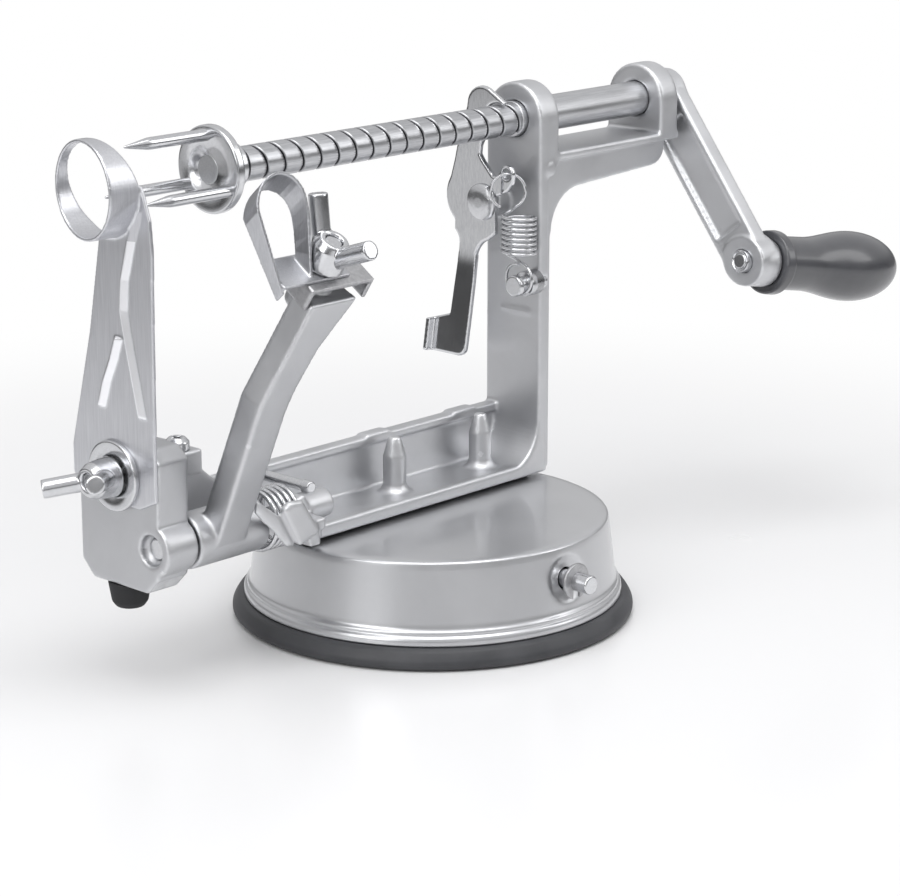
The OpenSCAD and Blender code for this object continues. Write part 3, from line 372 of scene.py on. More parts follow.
def ground_steel(name, dark, pale, rough, stretch, bump=0.05, spread=(0.35, 0.65), painted_groove_shade=None, painted_crease_highlight=None):
    """Drawn, turned or brushed steel: fine lines along one way, a faint smear, painted shade that darkens
    the grooves near an axle, and a painted highlight, near white, past a given X and below a given height."""
    material, tree, shader = new_finish(name)
    shader.inputs["Metallic"].default_value = 1.0
    where = add(tree, "ShaderNodeTexCoord")
    marks = add(tree, "ShaderNodeGroup", node_tree=ground)
    marks.inputs["Stretch"].default_value = stretch
    fine = add(tree, "ShaderNodeMapRange", {"From Min": spread[0], "From Max": spread[1]})
    tone = add(tree, "ShaderNodeMix", data_type="RGBA")
    tone.inputs["A"].default_value, tone.inputs["B"].default_value = (*dark, 1), (*pale, 1)
    dull = add(tree, "ShaderNodeMapRange",
               {"From Min": 0.3, "From Max": 0.7, "To Min": rough[0], "To Max": rough[1]})
    bumps = add(tree, "ShaderNodeBump", {"Strength": bump, "Distance": 0.0001})
    tree.links.new(where.outputs["Object"], marks.inputs["Vector"])
    tree.links.new(marks.outputs["Line"], fine.inputs["Value"])
    tree.links.new(fine.outputs["Result"], tone.inputs["Factor"])
    tree.links.new(marks.outputs["Haze"], dull.inputs["Value"])
    tree.links.new(marks.outputs["Line"], bumps.inputs["Height"])
    colour = tone.outputs["Result"]
    # Painted shade: within a given radius of the axle, the thread's grooves take a near-black colour in place of
    # the shadow that falls in them
    if painted_groove_shade:
        axle, low, high = painted_groove_shade
        across = add(tree, "ShaderNodeVectorMath", operation="SUBTRACT")
        across.inputs[1].default_value = axle
        flat = add(tree, "ShaderNodeVectorMath", operation="MULTIPLY")
        flat.inputs[1].default_value = (0, 1, 1)
        out = add(tree, "ShaderNodeVectorMath", operation="LENGTH")
        unshaded = add(tree, "ShaderNodeMapRange", {"From Min": low, "From Max": high})
        groove_shade_mix = add(tree, "ShaderNodeMix", data_type="RGBA")
        groove_shade_mix.inputs["A"].default_value = (0.035, 0.035, 0.04, 1)
        tree.links.new(where.outputs["Object"], across.inputs[0])
        tree.links.new(across.outputs[0], flat.inputs[0])
        tree.links.new(flat.outputs[0], out.inputs[0])
        tree.links.new(out.outputs["Value"], unshaded.inputs["Value"])
        tree.links.new(unshaded.outputs["Result"], groove_shade_mix.inputs["Factor"])
        tree.links.new(colour, groove_shade_mix.inputs["B"])
        colour = groove_shade_mix.outputs["Result"]
    # Painted highlight: past a given X and below a given height, the crease's facets take a near-white colour in
    # place of the light that they reflect
    if painted_crease_highlight:
        low, high, top = painted_crease_highlight
        apart = add(tree, "ShaderNodeSeparateXYZ")
        highlight_reach = add(tree, "ShaderNodeMapRange", {"From Min": low, "From Max": high})
        under = add(tree, "ShaderNodeMath", operation="LESS_THAN")
        under.inputs[1].default_value = top
        both = add(tree, "ShaderNodeMath", operation="MULTIPLY")
        shine = add(tree, "ShaderNodeMix", data_type="RGBA")
        shine.inputs["B"].default_value = (0.93, 0.935, 0.96, 1)
        tree.links.new(where.outputs["Object"], apart.inputs[0])
        tree.links.new(apart.outputs["X"], highlight_reach.inputs["Value"])
        tree.links.new(apart.outputs["Z"], under.inputs[0])
        tree.links.new(highlight_reach.outputs["Result"], both.inputs[0])
        tree.links.new(under.outputs[0], both.inputs[1])
        tree.links.new(both.outputs[0], shine.inputs["Factor"])
        tree.links.new(colour, shine.inputs["A"])
        colour = shine.outputs["Result"]
    tree.links.new(colour, shader.inputs["Base Color"])
    tree.links.new(dull.outputs["Result"], shader.inputs["Roughness"])
    tree.links.new(bumps.outputs[0], shader.inputs["Normal"])
    return material


bright_plate = ground_steel("bright_zinc_plate", (0.56, 0.565, 0.58), (0.61, 0.615, 0.63), (0.16, 0.26),
                            (1400.0, 1400.0, 1400.0), 0.015)
plain_steel = ground_steel("plain_steel", (0.36, 0.36, 0.37), (0.46, 0.46, 0.47), (0.3, 0.45),
                           (900.0, 900.0, 900.0), 0.1)
rod = [(-52, 0), (-52, 2.3, 0.5), (-47.42, 2.3, 0.08), (-47.42, 1.7, 0.05), (-46.48, 1.7, 0.05),
       (-46.48, 2.3, 0.08), (50.6, 2.3, 0.4), (50.6, 0)]
fitted(turned("cam_axle_bar", eased(rod, 0.3), AXLE_AT, (0, 1, 0), 64), "cam_axle", "bright_steel", bright_plate)


def dressed(name, node, fineness, rounds=8, reach=2, added=(), angle=16.0, lay=None):
    """Close copy of a solid, with any added shells melted into it, and all its edges and corners rounded off.
    A bent sheet is first laid flat by the shift along X that lay gives for each height, and turned askew to the
    voxels, so that its long edges come out straight; the caller bends it back."""
    bm = bmesh.new()
    bm.from_mesh(frame["nodes"][node].data)
    for shell in added:
        bm.from_mesh(shell.data)
        bpy.data.objects.remove(shell)
    bmesh.ops.remove_doubles(bm, verts=bm.verts, dist=1e-6)
    for corner in bm.verts if lay else ():
        corner.co.x += lay(corner.co.z)
    askew = Matrix.Rotation(math.radians(20 if lay else 0), 4, "X")
    bm.transform(askew)
    model = bpy.data.meshes.new(name + "_model")
    bm.to_mesh(model)
    bm.free()
    form = bpy.data.objects.new(name + "_model", model)
    piece = bpy.data.objects.new(name, model.copy())
    for item in (form, piece):
        scene.collection.objects.link(item)
    mesher = piece.modifiers.new("even_mesh", "REMESH")
    mesher.mode, mesher.voxel_size = "VOXEL", fineness * MM
    closer = piece.modifiers.new("back_on_form", "SHRINKWRAP")
    closer.target, closer.wrap_method = form, "NEAREST_SURFACEPOINT"
    mesh = settled(piece)
    mesh.name = name
    bpy.data.objects.remove(form)
    count = len(mesh.vertices)
    ends = np.empty(2 * len(mesh.edges), np.int64)
    mesh.edges.foreach_get("vertices", ends)
    a, b = ends[::2], ends[1::2]
    share = np.bincount(a, minlength=count) + np.bincount(b, minlength=count)
    place, facing = np.empty(3 * count), np.empty(3 * count)
    mesh.vertices.foreach_get("co", place)
    mesh.vertices.foreach_get("normal", facing)
    place, facing = place.reshape(-1, 3), facing.reshape(-1, 3)
    keen = (facing[a] * facing[b]).sum(1) < math.cos(math.radians(angle))
    near = np.zeros(count, bool)
    near[a[keen]] = near[b[keen]] = True
    for _ in range(reach):
        touch = near[a] | near[b]
        near[a[touch]] = near[b[touch]] = True
    edge_pull, last_pull, last_rounds = 0.5, 0.3, 2
    weight = np.where(near, edge_pull, 0.0)
    for step in range(rounds + last_rounds):
        if step == rounds:
            weight = np.full(count, last_pull)
        total = np.stack([np.bincount(a, place[b, k], count) + np.bincount(b, place[a, k], count)
                          for k in range(3)], 1)
        place += weight[:, None] * (total / share[:, None] - place)
    mesh.vertices.foreach_set("co", place.ravel())
    mesh.transform(askew.inverted())
    mesh.update()
    mesh.shade_smooth()
    return piece


fitted(dressed("axle_clip_ring", "axle_clip", 0.18, 3, 1), "axle_clip", "spring_steel", plain_steel)
fitted(dressed("cam_disc", "cam", 0.4, 4, 1), "cam", "bright_steel", plain_steel)
fitted(dressed("pull_stem_yoke", "pull_stem", 0.45, 4, 1), "pull_stem", "bright_steel", plain_steel)
fitted(dressed("suction_lever_bar", "suction_lever", 0.35, 6, 2), "suction_lever", "bright_steel", bright_plate)
black_plastic = skinned("black_satin_plastic", (0.045, 0.046, 0.052), (0.06, 0.061, 0.068), (0.30, 0.38), 0.0,
                        grain=2200.0, clouds=90.0, bump=0.08, coat=0.7, gloss=0.16)
fitted(dressed("lever_knob_sleeve", "lever_knob", 0.4, 12, 3), "lever_knob", "grip_plastic", black_plastic)


# Pad and screws of the joint between base and beam: a thin rubber pad, and two screws that come up from
# inside the housing through the pad into the beam's round bosses.
fitted(dressed("base_pad_sheet", "base_pad", 0.45, 2, 1), "base_pad", "rubber", black_rubber)
shank = [(21.6, 0), (21.6, 3.4, 0.5), (23.8, 3.4, 0.2), (23.8, 1.8, 0.1), (35.8, 1.8, 0.4), (35.8, 0)]
for node, x in (("base_screw_left", BOSS_LEFT), ("base_screw_right", BOSS_RIGHT)):
    fitted(turned(node + "_steel", eased(shank, 0.3), (x, BOSS_Y, 0), (0, 0, 1), 48),
           node, "bright_steel", plain_steel)


# Frame: one aluminium die casting with beam, web, column, two bearing eyes and the lug for the pivot rod.
# It is tumbled to a satin grey, so its edges are soft and a little brighter than its faces.
cast_metal = skinned("satin_casting", (0.55, 0.555, 0.57), (0.61, 0.615, 0.63), (0.38, 0.47), 1.0,
                     grain=2600.0, clouds=55.0, bump=0.14, edge=(0.74, 0.745, 0.76))


def slab(low, high, lean=0.0):
    """Small closed block between two corners in millimetres, its top drawn in along X by a lean."""
    (x0, y0, z0), (x1, y1, z1) = low, high
    points = [(x0, y0, z0), (x1, y0, z0), (x1, y1, z0), (x0, y1, z0),
              (x0 + lean, y0, z1), (x1 - lean, y0, z1), (x1 - lean, y1, z1), (x0 + lean, y1, z1)]
    mesh = bpy.data.meshes.new("slab")
    mesh.from_pydata([Vector(p) * MM for p in points], [],
                     [(3, 2, 1, 0), (4, 5, 6, 7), (0, 1, 5, 4), (1, 2, 6, 5), (2, 3, 7, 6), (3, 0, 4, 7)])
    shell = bpy.data.objects.new("slab", mesh)
    scene.collection.objects.link(shell)
    return shell


swells = []
boss_foot = [(28.0, 0), (28.0, 4.6), (28.9, 4.3), (29.6, 3.5), (30.6, 2.95), (31, 0)]
ejector_mark = [(-0.35, 0), (-0.35, 1.5), (-0.2, 1.8), (1, 1.8), (1, 0)]
for x in (BOSS_LEFT, BOSS_RIGHT):
    swells.append(slab((x - 5.5, 14.3, 40.5), (x + 5.5, 18.2, 42.9), 1.5))
    swells.append(turned("boss_foot", boss_foot, (x, BOSS_Y, 0), (0, 0, 1), 48))
swells.append(turned("ejector_mark", ejector_mark, (43.4, -0.25, 104.6), (0, 1, 0), 40))
swells.append(slab((39.0, 3.4, 67.6), (40.4, 12.6, 68.3)))
fitted(dressed("frame_casting", "frame", 0.45, 5, 2, swells), "frame", "cast_metal", cast_metal)


# Blade block: a second small casting, screwed to the beam's left end, that carries the pivot rod and the
# coring blade. A pan-head screw closes its ledge and a rubber bumper is plugged into its underside.
dull_casting = skinned("dull_casting", (0.48, 0.485, 0.50), (0.54, 0.545, 0.56), (0.38, 0.47), 1.0,
                       grain=2600.0, clouds=55.0, bump=0.14, edge=(0.70, 0.705, 0.72))
fitted(dressed("blade_block_casting", "blade_block", 0.4, 6, 2), "blade_block", "cast_metal", dull_casting)
fitted(dressed("block_screw_pan", "block_screw", 0.16, 4, 1), "block_screw", "bright_steel", bright_plate)
foot = [(-6.2, 0), (-6.2, 3.2, 0.6), (-4.8, 4.2, 0.4), (-0.05, 5.0, 0.4), (-0.05, 2.0, 0), (3.6, 2.0, 0.3),
        (3.6, 0)]
soft_rubber = skinned("soft_bumper_rubber", (0.008, 0.008, 0.009), (0.014, 0.014, 0.016), (0.62, 0.76), 0.0,
                      grain=3500.0, clouds=60.0, bump=0.16)
fitted(turned("bumper_rubber", eased(foot, 0.4), (-88.4, 11.8, 25.0), (0, 0, 1), 64),
       "bumper", "rubber", soft_rubber)


# Coring blade: stainless sheet, stamped with a stiffening crease and rolled into a sharp ring at its top.
# A bolt, a broad washer and a wing nut hold its slotted foot to the block.
blade_steel = ground_steel("stainless_blade", (0.43, 0.435, 0.455), (0.50, 0.505, 0.525), (0.29, 0.37),
                           (2500.0, 2500.0, 90.0), 0.05)
# The coring blade's steel has a painted highlight on its crease facets, past crease_low and below crease_top.
crease_low, crease_high, crease_top = -94.06 * MM, -94.16 * MM, 106 * MM
creased_blade = ground_steel("creased_blade", (0.54, 0.545, 0.57), (0.62, 0.625, 0.65), (0.29, 0.37),
                             (2500.0, 2500.0, 90.0), 0.05, painted_crease_highlight=(crease_low, crease_high, crease_top))
fitted(dressed("coring_blade_stamping", "coring_blade", 0.22, 6, 2, angle=24.0),
       "coring_blade", "blade_steel", creased_blade)
fitted(dressed("corer_bolt_hex", "corer_bolt", 0.25, 4, 1), "corer_bolt", "bright_steel", bright_plate)
ring = [(-2.2, 2.2), (-2.2, 8.2, 0.5), (-1.02, 8.2, 0.2), (-1.02, 2.2), (-2.2, 2.2)]
fitted(turned("corer_washer_ring", eased(ring, 0.2)[:-1], (-93, 9, 51.5), (1, 0, 0), 96, True),
       "corer_washer", "bright_steel", bright_plate)
fitted(dressed("corer_nut_wings", "corer_nut", 0.22, 6, 2), "corer_nut", "bright_steel", bright_plate)


# Peeler arm: a cast bar that swings on a plain rod between the block and the frame's lug.
# A torsion spring on the rod, stopped by a driven pin, presses it against the work.
fitted(dressed("peeler_arm_casting", "peeler_arm", 0.4, 7, 2), "peeler_arm", "cast_metal", dull_casting)
bar = [(-91, 0), (-91, 2.5, 0.4), (-43.6, 2.5, 0.4), (-43.6, 0)]
fitted(turned("pivot_rod_bar", eased(bar, 0.3), PIVOT_AT, (1, 0, 0), 64),
       "pivot_rod", "bright_steel", bright_plate)
pin = [(-2, 0), (-2, 1.5, 0.4), (0.6, 1.5, 0.1), (0.6, 1.3, 0.05), (17.25, 1.3, 0.2), (17.25, 0)]
fitted(turned("spring_pin_bar", eased(pin, 0.2), (-43.5, 0, 40.0), (0, 1, 0), 48),
       "spring_pin", "bright_steel", bright_plate)
spring_wire = ground_steel("spring_wire", (0.50, 0.505, 0.52), (0.66, 0.665, 0.68), (0.14, 0.26),
                           (1800.0, 1800.0, 1800.0), 0.05)

# Geometry tree that draws wire along a path, with the wire's size and sides as its inputs
wire = bpy.data.node_groups.new("drawn_wire", "GeometryNodeTree")
wire.interface.new_socket("Geometry", in_out="INPUT", socket_type="NodeSocketGeometry")
thick = wire.interface.new_socket("Wire Radius", in_out="INPUT", socket_type="NodeSocketFloat")
count = wire.interface.new_socket("Sides", in_out="INPUT", socket_type="NodeSocketInt")
metal = wire.interface.new_socket("Finish", in_out="INPUT", socket_type="NodeSocketMaterial")
wire.interface.new_socket("Geometry", in_out="OUTPUT", socket_type="NodeSocketGeometry")
given, result = add(wire, "NodeGroupInput"), add(wire, "NodeGroupOutput")
path = add(wire, "GeometryNodeMeshToCurve")
section = add(wire, "GeometryNodeCurvePrimitiveCircle", mode="RADIUS")
drawn = add(wire, "GeometryNodeCurveToMesh", {"Fill Caps": True})
smooth = add(wire, "GeometryNodeSetShadeSmooth")
whole = add(wire, "GeometryNodeRealizeInstances")
coated = add(wire, "GeometryNodeSetMaterial")
wire.links.new(given.outputs["Geometry"], path.inputs["Mesh"])
wire.links.new(given.outputs["Wire Radius"], section.inputs["Radius"])
wire.links.new(given.outputs["Sides"], section.inputs["Resolution"])
wire.links.new(path.outputs[0], drawn.inputs["Curve"])
wire.links.new(section.outputs["Curve"], drawn.inputs["Profile Curve"])
wire.links.new(drawn.outputs[0], smooth.inputs["Geometry"])
wire.links.new(smooth.outputs[0], whole.inputs["Geometry"])
wire.links.new(whole.outputs[0], coated.inputs["Geometry"])
wire.links.new(given.outputs["Finish"], coated.inputs["Material"])
wire.links.new(coated.outputs[0], result.inputs[0])


def wound(name, points, radius, finish):
    """Spring from the points of its path, in millimetres, rounded between them and drawn as wire."""
    p = np.array(points, float)
    p = np.vstack([2 * p[0] - p[1], p, 2 * p[-1] - p[-2]])
    fine = []
    for i in range(1, len(p) - 2):
        for t in np.linspace(0, 1, 4, endpoint=False):
            fine.append(0.5 * (2 * p[i] + (p[i + 1] - p[i - 1]) * t
                               + (2 * p[i - 1] - 5 * p[i] + 4 * p[i + 1] - p[i + 2]) * t ** 2
                               + (3 * p[i] - p[i - 1] - 3 * p[i + 1] + p[i + 2]) * t ** 3))
    fine.append(p[-2])
    mesh = bpy.data.meshes.new(name)
    mesh.from_pydata([Vector(q) * MM for q in fine], [(i, i + 1) for i in range(len(fine) - 1)], [])
    piece = bpy.data.objects.new(name, mesh)
    scene.collection.objects.link(piece)
    maker = piece.modifiers.new("wire", "NODES")
    maker.node_group = wire
    maker[thick.identifier], maker[count.identifier], maker[metal.identifier] = radius * MM, 14, finish
    settled(piece)
    return piece


coil_x, coil_pitch, coil_turns, coil_r = -61.2, 1.75, 5, 6.8
coil_end, leg_y = coil_x + coil_pitch * coil_turns, PIVOT_AT[1] + coil_r
coil = [(coil_x, leg_y, 38.1), (coil_x, leg_y, 36.8)]
coil += [(coil_x + coil_pitch * i / 24, PIVOT_AT[1] + coil_r * math.cos(math.radians(15 * i)),
          PIVOT_AT[2] - coil_r * math.sin(math.radians(15 * i))) for i in range(24 * coil_turns + 1)]
coil += [(coil_end, leg_y, 34.2), (coil_end, leg_y, 32.9)]
strung(wound("torsion_spring_coil", coil, 0.6, spring_wire), "torsion_spring", spring_wire)


# Peeling blade: a bent stainless strip in a scoop-like loop, with a slotted foot in a folded sheet clip.
# A wing nut on a bolt in the arm's pad clamps clip and foot together.
fitted(dressed("blade_clip_channel", "blade_clip", 0.25, 6, 2), "blade_clip", "bright_steel", plain_steel)
fitted(dressed("peeling_blade_strip", "peeling_blade", 0.2, 7, 2), "peeling_blade", "blade_steel", blade_steel)
fitted(dressed("peeler_bolt_stud", "peeler_bolt", 0.25, 4, 1), "peeler_bolt", "bright_steel", bright_plate)
fitted(dressed("peeler_nut_wings", "peeler_nut", 0.22, 6, 2), "peeler_nut", "bright_steel", bright_plate)


# Release lever: stamped, polished steel sheet that turns on a domed rivet in the column's boss.
# Its half moon and tooth sit on the screw's thread, and a tension spring from the anchor pin pulls it in.
polished = ground_steel("polished_steel", (0.62, 0.625, 0.64), (0.70, 0.705, 0.72), (0.08, 0.12),
                        (2200.0, 2200.0, 500.0), 0.03)
lean, bend_z, bend_r = math.tan(math.radians(5)), 81, 4
stamping = dressed("release_lever_stamping", "release_lever", 0.16, 14, 2,
                   lay=lambda z: lean * max(bend_z * MM - z, 0))
for corner in stamping.data.vertices:
    below = bend_z - corner.co.z / MM
    corner.co.x -= lean * (max(below, 0) + max(bend_r - abs(below), 0) ** 2 / (4 * bend_r)) * MM
fitted(stamping, "release_lever", "bright_steel", polished)
dome = [(-1.7, 0), (-1.68, 1.4, 0.3), (-1.5, 2.9, 0.5), (-1.1, 4.0, 0.5), (-0.7, 4.6, 0.4), (0, 4.8, 0.2),
        (0, 2.5, 0.1), (1.9, 2.5, 0.1), (1.9, 2.2, 0), (8.9, 2.2, 0.2), (8.9, 0)]
fitted(turned("lever_rivet_dome", eased(dome, 0.2), (32.9, 13.8, 96.0), (1, 0, 0), 72), "lever_rivet",
       "bright_steel", bright_plate)
post = [(30.95, 0), (30.95, 2.7, 0.5), (32.55, 2.7, 0.3), (32.55, 1.8, 0.2), (34.95, 1.8, 0.2), (34.95, 3.2, 0.2),
        (39.4, 3.2, 0), (39.4, 1.8, 0), (42.2, 1.8, 0.2), (42.2, 0)]
pull_x, anchor_y, anchor_z, ear_y, ear_z = 33.75, 1.4, 76.3, 5.8, 104.0
pull_r, pull_pitch, pull_turns, coil_y, coil_z = 4.2, 1.27, 8, 2.0, 83.9
low_loop, top_loop, top_turn = 3.9, 4.4, math.radians(43)
fitted(turned("spring_anchor_post", eased(post, 0.2), (0, anchor_y, anchor_z), (1, 0, 0), 64), "spring_anchor",
       "bright_steel", bright_plate)
hook = []
for i in range(35):
    turn = math.radians(455 - 345 * i / 34)
    hook.append((pull_x - 1.2 + 1.2 * i / 34, anchor_y + low_loop * math.cos(turn),
                 anchor_z + 1.6 + low_loop * math.sin(turn)))
hook += [(pull_x, coil_y + 1.1, coil_z - 1.2), (pull_x - 0.4, coil_y + 3.1, coil_z - 0.5)]
hook += [(pull_x + pull_r * math.sin(math.radians(15 * i)), coil_y + pull_r * math.cos(math.radians(15 * i)),
          coil_z + pull_pitch * i / 24) for i in range(24 * pull_turns + 1)]
hook += [(pull_x + 1.2, coil_y + pull_r - 0.5, coil_z + pull_pitch * pull_turns + 0.5)]
for i in range(32):
    turn = math.radians(242 - 307 * i / 31)
    swing = top_loop * math.cos(turn)
    hook.append((pull_x - swing * math.sin(top_turn), ear_y + swing * math.cos(top_turn),
                 ear_z - top_loop + top_loop * math.sin(turn)))
strung(wound("lever_spring_coil", hook, 0.4, spring_wire), "lever_spring", spring_wire)


# Lead screw: a drawn steel bar with a square thread turned into its left part and a plain bearing length.
# The fork that holds the work is pinned to its left end.
screw_y, screw_z, screw_end = SCREW_AT[1] * MM, SCREW_AT[2] * MM, -64.15
drawn_bar = ground_steel("drawn_bar", (0.46, 0.465, 0.48), (0.58, 0.585, 0.60), (0.28, 0.38),
                         (120.0, 3500.0, 3500.0), 0.06)
# The thread's steel carries painted shade that darkens its grooves.
threaded_bar = ground_steel("threaded_bar", (0.40, 0.405, 0.42), (0.54, 0.545, 0.56), (0.28, 0.38),
                            (120.0, 3500.0, 3500.0), 0.06, painted_groove_shade=((0, screw_y, screw_z), 3.7 * MM, 4.04 * MM))
core = [(screw_end, 0), (screw_end, 3.4, 0.3), (-54.5, 3.4, 0), (38.0, 3.4, 0), (38.2, 4.5, 0.3),
        (101.6, 4.5, 0.5), (101.6, 0)]
fitted(turned("lead_screw_bar", eased(core, 0.3), SCREW_AT, (1, 0, 0), 96),
       "lead_screw", "bright_steel", drawn_bar)

# Geometry tree that turns a square thread: a sheared sheet wrapped round the bar, its groove cut by a rule
thread = bpy.data.node_groups.new("square_thread", "GeometryNodeTree")
sizes = {}
for label, value in (("Start", -54.6), ("Length", 92.8), ("Pitch", 5.75), ("Groove", 1.1), ("Tooth At", 33.75),
                     ("Outer Radius", 4.1), ("Depth", 0.7), ("Edge", 0.16)):
    sizes[label] = thread.interface.new_socket(label, in_out="INPUT", socket_type="NodeSocketFloat")
    sizes[label].default_value = value * MM
sizes["Finish"] = thread.interface.new_socket("Finish", in_out="INPUT", socket_type="NodeSocketMaterial")
thread.interface.new_socket("Geometry", in_out="OUTPUT", socket_type="NodeSocketGeometry")
given, result = add(thread, "NodeGroupInput"), add(thread, "NodeGroupOutput")


def reckon(operation, *values):
    """One sum of the thread's rule; a value is a number or another node's output."""
    node = add(thread, "ShaderNodeMath", operation=operation)
    for place, value in zip(node.inputs, values):
        if isinstance(value, (int, float)):
            place.default_value = value
        else:
            thread.links.new(value, place)
    return node.outputs[0]


size = given.outputs
steps = 46
longer = reckon("MULTIPLY_ADD", size["Pitch"], 2.0, size["Length"])
rows = reckon("ROUND", reckon("DIVIDE", reckon("MULTIPLY", longer, steps), size["Pitch"]))
sheet = add(thread, "GeometryNodeMeshGrid", {"Size X": 1.0, "Size Y": 1.0, "Vertices X": 65})
thread.links.new(reckon("ADD", rows, 1.0), sheet.inputs["Vertices Y"])
spot = add(thread, "ShaderNodeSeparateXYZ")
thread.links.new(add(thread, "GeometryNodeInputPosition").outputs[0], spot.inputs[0])
turn = reckon("ADD", spot.outputs["X"], 0.5)
span = reckon("MULTIPLY", rows, reckon("DIVIDE", size["Pitch"], steps))
run = reckon("MULTIPLY", reckon("ADD", spot.outputs["Y"], 0.5), span)
lead = reckon("SUBTRACT", reckon("ADD", run, size["Start"]), reckon("MULTIPLY", size["Pitch"], 2.0))
along = reckon("MULTIPLY_ADD", turn, size["Pitch"], lead)
along = reckon("MINIMUM", reckon("MAXIMUM", along, size["Start"]), reckon("ADD", size["Start"], size["Length"]))
phase = reckon("ADD", reckon("DIVIDE", reckon("SUBTRACT", lead, size["Tooth At"]), size["Pitch"]), 0.5)
off = reckon("MULTIPLY", reckon("ABSOLUTE", reckon("SUBTRACT", reckon("FRACT", phase), 0.5)), size["Pitch"])
lip = reckon("DIVIDE", reckon("SUBTRACT", off, reckon("MULTIPLY", size["Groove"], 0.5)), size["Edge"])
lip = reckon("MINIMUM", reckon("MAXIMUM", reckon("ADD", lip, 0.5), 0.0), 1.0)
radius = reckon("SUBTRACT", size["Outer Radius"], reckon("MULTIPLY", reckon("SUBTRACT", 1.0, lip), size["Depth"]))
bend = reckon("MULTIPLY", turn, 2 * math.pi)
point = add(thread, "ShaderNodeCombineXYZ")
thread.links.new(along, point.inputs["X"])
thread.links.new(reckon("MULTIPLY_ADD", reckon("COSINE", bend), radius, screw_y), point.inputs["Y"])
thread.links.new(reckon("MULTIPLY_ADD", reckon("SINE", bend), radius, screw_z), point.inputs["Z"])
wrap = add(thread, "GeometryNodeSetPosition")
seam = add(thread, "GeometryNodeMergeByDistance", {"Distance": 2e-6})
smooth = add(thread, "GeometryNodeSetShadeSmooth")
whole = add(thread, "GeometryNodeRealizeInstances")
coated = add(thread, "GeometryNodeSetMaterial")
thread.links.new(sheet.outputs["Mesh"], wrap.inputs["Geometry"])
thread.links.new(point.outputs[0], wrap.inputs["Position"])
for before, after in ((wrap, seam), (seam, smooth), (smooth, whole), (whole, coated)):
    thread.links.new(before.outputs[0], after.inputs["Geometry"])
thread.links.new(size["Finish"], coated.inputs["Material"])
thread.links.new(coated.outputs[0], result.inputs[0])
ribs = bpy.data.objects.new("screw_thread_turning", bpy.data.meshes.new("screw_thread_turning"))
scene.collection.objects.link(ribs)
maker = ribs.modifiers.new("thread", "NODES")
maker.node_group = thread
maker[sizes["Finish"].identifier] = threaded_bar
settled(ribs)
bm = bmesh.new()
bm.from_mesh(ribs.data)
bmesh.ops.recalc_face_normals(bm, faces=bm.faces)
bm.to_mesh(ribs.data)
bm.free()
fitted(ribs, "screw_thread", "bright_steel", threaded_bar)


# Fork: a plated steel disc and hub, cross-pinned to the screw, with three pointed prongs pressed into it.
# Geometry nodes set the prongs on a ring, whose size and count are the tree's inputs.
ringed = bpy.data.node_groups.new("prong_ring", "GeometryNodeTree")
ringed.interface.new_socket("Geometry", in_out="INPUT", socket_type="NodeSocketGeometry")
spots = ringed.interface.new_socket("Prongs", in_out="INPUT", socket_type="NodeSocketInt")
apart = ringed.interface.new_socket("Ring Radius", in_out="INPUT", socket_type="NodeSocketFloat")
middle = ringed.interface.new_socket("Middle", in_out="INPUT", socket_type="NodeSocketVector")
coat = ringed.interface.new_socket("Finish", in_out="INPUT", socket_type="NodeSocketMaterial")
ringed.interface.new_socket("Geometry", in_out="OUTPUT", socket_type="NodeSocketGeometry")
given, result = add(ringed, "NodeGroupInput"), add(ringed, "NodeGroupOutput")
circle = add(ringed, "GeometryNodeMeshCircle")
stand = add(ringed, "GeometryNodeTransform", {"Rotation": (0, math.radians(-90), 0)})
each = add(ringed, "GeometryNodeInstanceOnPoints")
whole = add(ringed, "GeometryNodeRealizeInstances")
coated = add(ringed, "GeometryNodeSetMaterial")
ringed.links.new(given.outputs["Prongs"], circle.inputs["Vertices"])
ringed.links.new(given.outputs["Ring Radius"], circle.inputs["Radius"])
ringed.links.new(given.outputs["Middle"], stand.inputs["Translation"])
ringed.links.new(circle.outputs[0], stand.inputs["Geometry"])
ringed.links.new(stand.outputs[0], each.inputs["Points"])
ringed.links.new(given.outputs["Geometry"], each.inputs["Instance"])
ringed.links.new(each.outputs[0], whole.inputs["Geometry"])
ringed.links.new(whole.outputs[0], coated.inputs["Geometry"])
ringed.links.new(given.outputs["Finish"], coated.inputs["Material"])
ringed.links.new(coated.outputs[0], result.inputs[0])
spike = [(0.5, 0), (0.5, 1.4, 0.1), (-17.5, 1.4, 0.8), (-24.3, 0.28, 0.3), (-24.5, 0)]
prongs = turned("fork_prongs", eased(spike, 0.3), (0, 0, 0), (1, 0, 0), 40)
maker = prongs.modifiers.new("ring", "NODES")
maker.node_group = ringed
maker[spots.identifier], maker[apart.identifier], maker[coat.identifier] = 3, 8 * MM, bright_plate
maker[middle.identifier] = (screw_end * MM, screw_y, screw_z)
settled(prongs)
fitted(prongs, "fork", "bright_steel", bright_plate)
hub = [(screw_end, 3.4), (screw_end, 10.2, 0.6), (-61.75, 10.2, 0.6), (-61.75, 5.6, 0.5), (-56.25, 5.6, 0.6),
       (-56.25, 3.4), (screw_end, 3.4)]
fitted(turned("fork_disc", eased(hub, 0.4)[:-1], SCREW_AT, (1, 0, 0), 96, True),
       "fork", "bright_steel", bright_plate)
peg = [(-5.4, 0), (-5.4, 1.0, 0.3), (5.4, 1.0, 0.3), (5.4, 0)]
fitted(turned("fork_pin_bar", eased(peg, 0.3), (-58.95, *SCREW_AT[1:]), (0, 0, 1), 32),
       "fork_pin", "bright_steel", plain_steel)
ring = [(94.1, 4.56), (94.1, 6.6, 0.2), (94.9, 6.6, 0.2), (94.9, 4.56), (94.1, 4.56)]
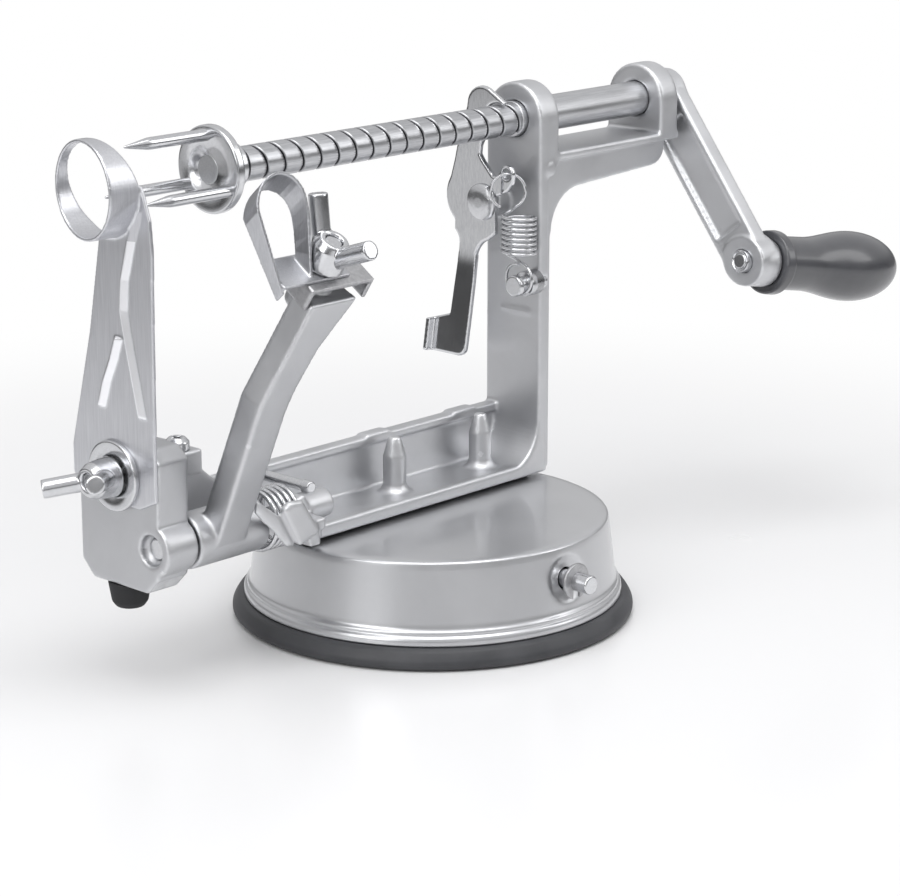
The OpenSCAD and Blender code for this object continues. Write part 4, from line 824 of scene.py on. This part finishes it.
fitted(turned("thrust_washer_ring", eased(ring, 0.2)[:-1], SCREW_AT, (1, 0, 0), 96, True),
       "thrust_washer", "bright_steel", bright_plate)


# Crank: a cast arm with a sunk panel on each side, cross-pinned to the screw, and a riveted pin at its tip.
# The handle, moulded in black plastic with a waist and a swollen end, spins on that pin behind its collar.
fitted(dressed("crank_arm_casting", "crank_arm", 0.38, 7, 2), "crank_arm", "cast_metal", cast_metal)
peg = [(-6.5, 0), (-6.5, 1.2, 0.3), (6.5, 1.2, 0.3), (6.5, 0)]
fitted(turned("cross_pin_bar", eased(peg, 0.3), (98, *SCREW_AT[1:]), (0, 0, 1), 32),
       "cross_pin", "bright_steel", plain_steel)
pin_at, pin_way = (95, -21.905, 76.431), (0.978867, -0.123921, -0.162669)
stub = [(-1.2, 0), (-1.2, 1.9, 0.3), (-0.7, 2.1, 0.2), (-0.7, 2.4, 0.2), (-1.1, 2.9, 0.3), (-0.6, 3.0, 0.2),
        (43.5, 3.0, 0.1), (43.5, 3.8, 0.3), (45.5, 3.8, 0.3), (45.5, 0)]
fitted(turned("grip_pin_rivet", eased(stub, 0.2), pin_at, pin_way, 64), "grip_pin", "bright_steel", bright_plate)
ring = [(8.65, 3.0), (8.65, 8.4, 0.6), (12.0, 8.6, 0.8), (12.0, 3.0), (8.65, 3.0)]
fitted(turned("grip_collar_ring", eased(ring, 0.4)[:-1], pin_at, pin_way, 96, True),
       "grip_collar", "grip_plastic", black_plastic)
grip_from, grip_l, big, slim = 12.2, 46.1, 9.5, 7.2
swell = [(0.0, 3.06), (0.0, slim - 0.1, 0.8), (0.2 * grip_l, slim, 0)]
swell += [(grip_l * (0.2 + 0.42 * i / 24), slim + (big - slim) * (1 - math.cos(math.pi * i / 24)) / 2, 0)
          for i in range(1, 25)]
swell += [(grip_l * (0.62 + 0.38 * math.sin(math.pi * i / 56)), big * math.cos(math.pi * i / 56), 0)
          for i in range(1, 28)]
swell += [(grip_l, 0)]
fitted(turned("grip_moulding", eased(swell, 0.6), tuple(Vector(pin_at) + Vector(pin_way) * grip_from), pin_way, 96),
       "grip", "grip_plastic", black_plastic)
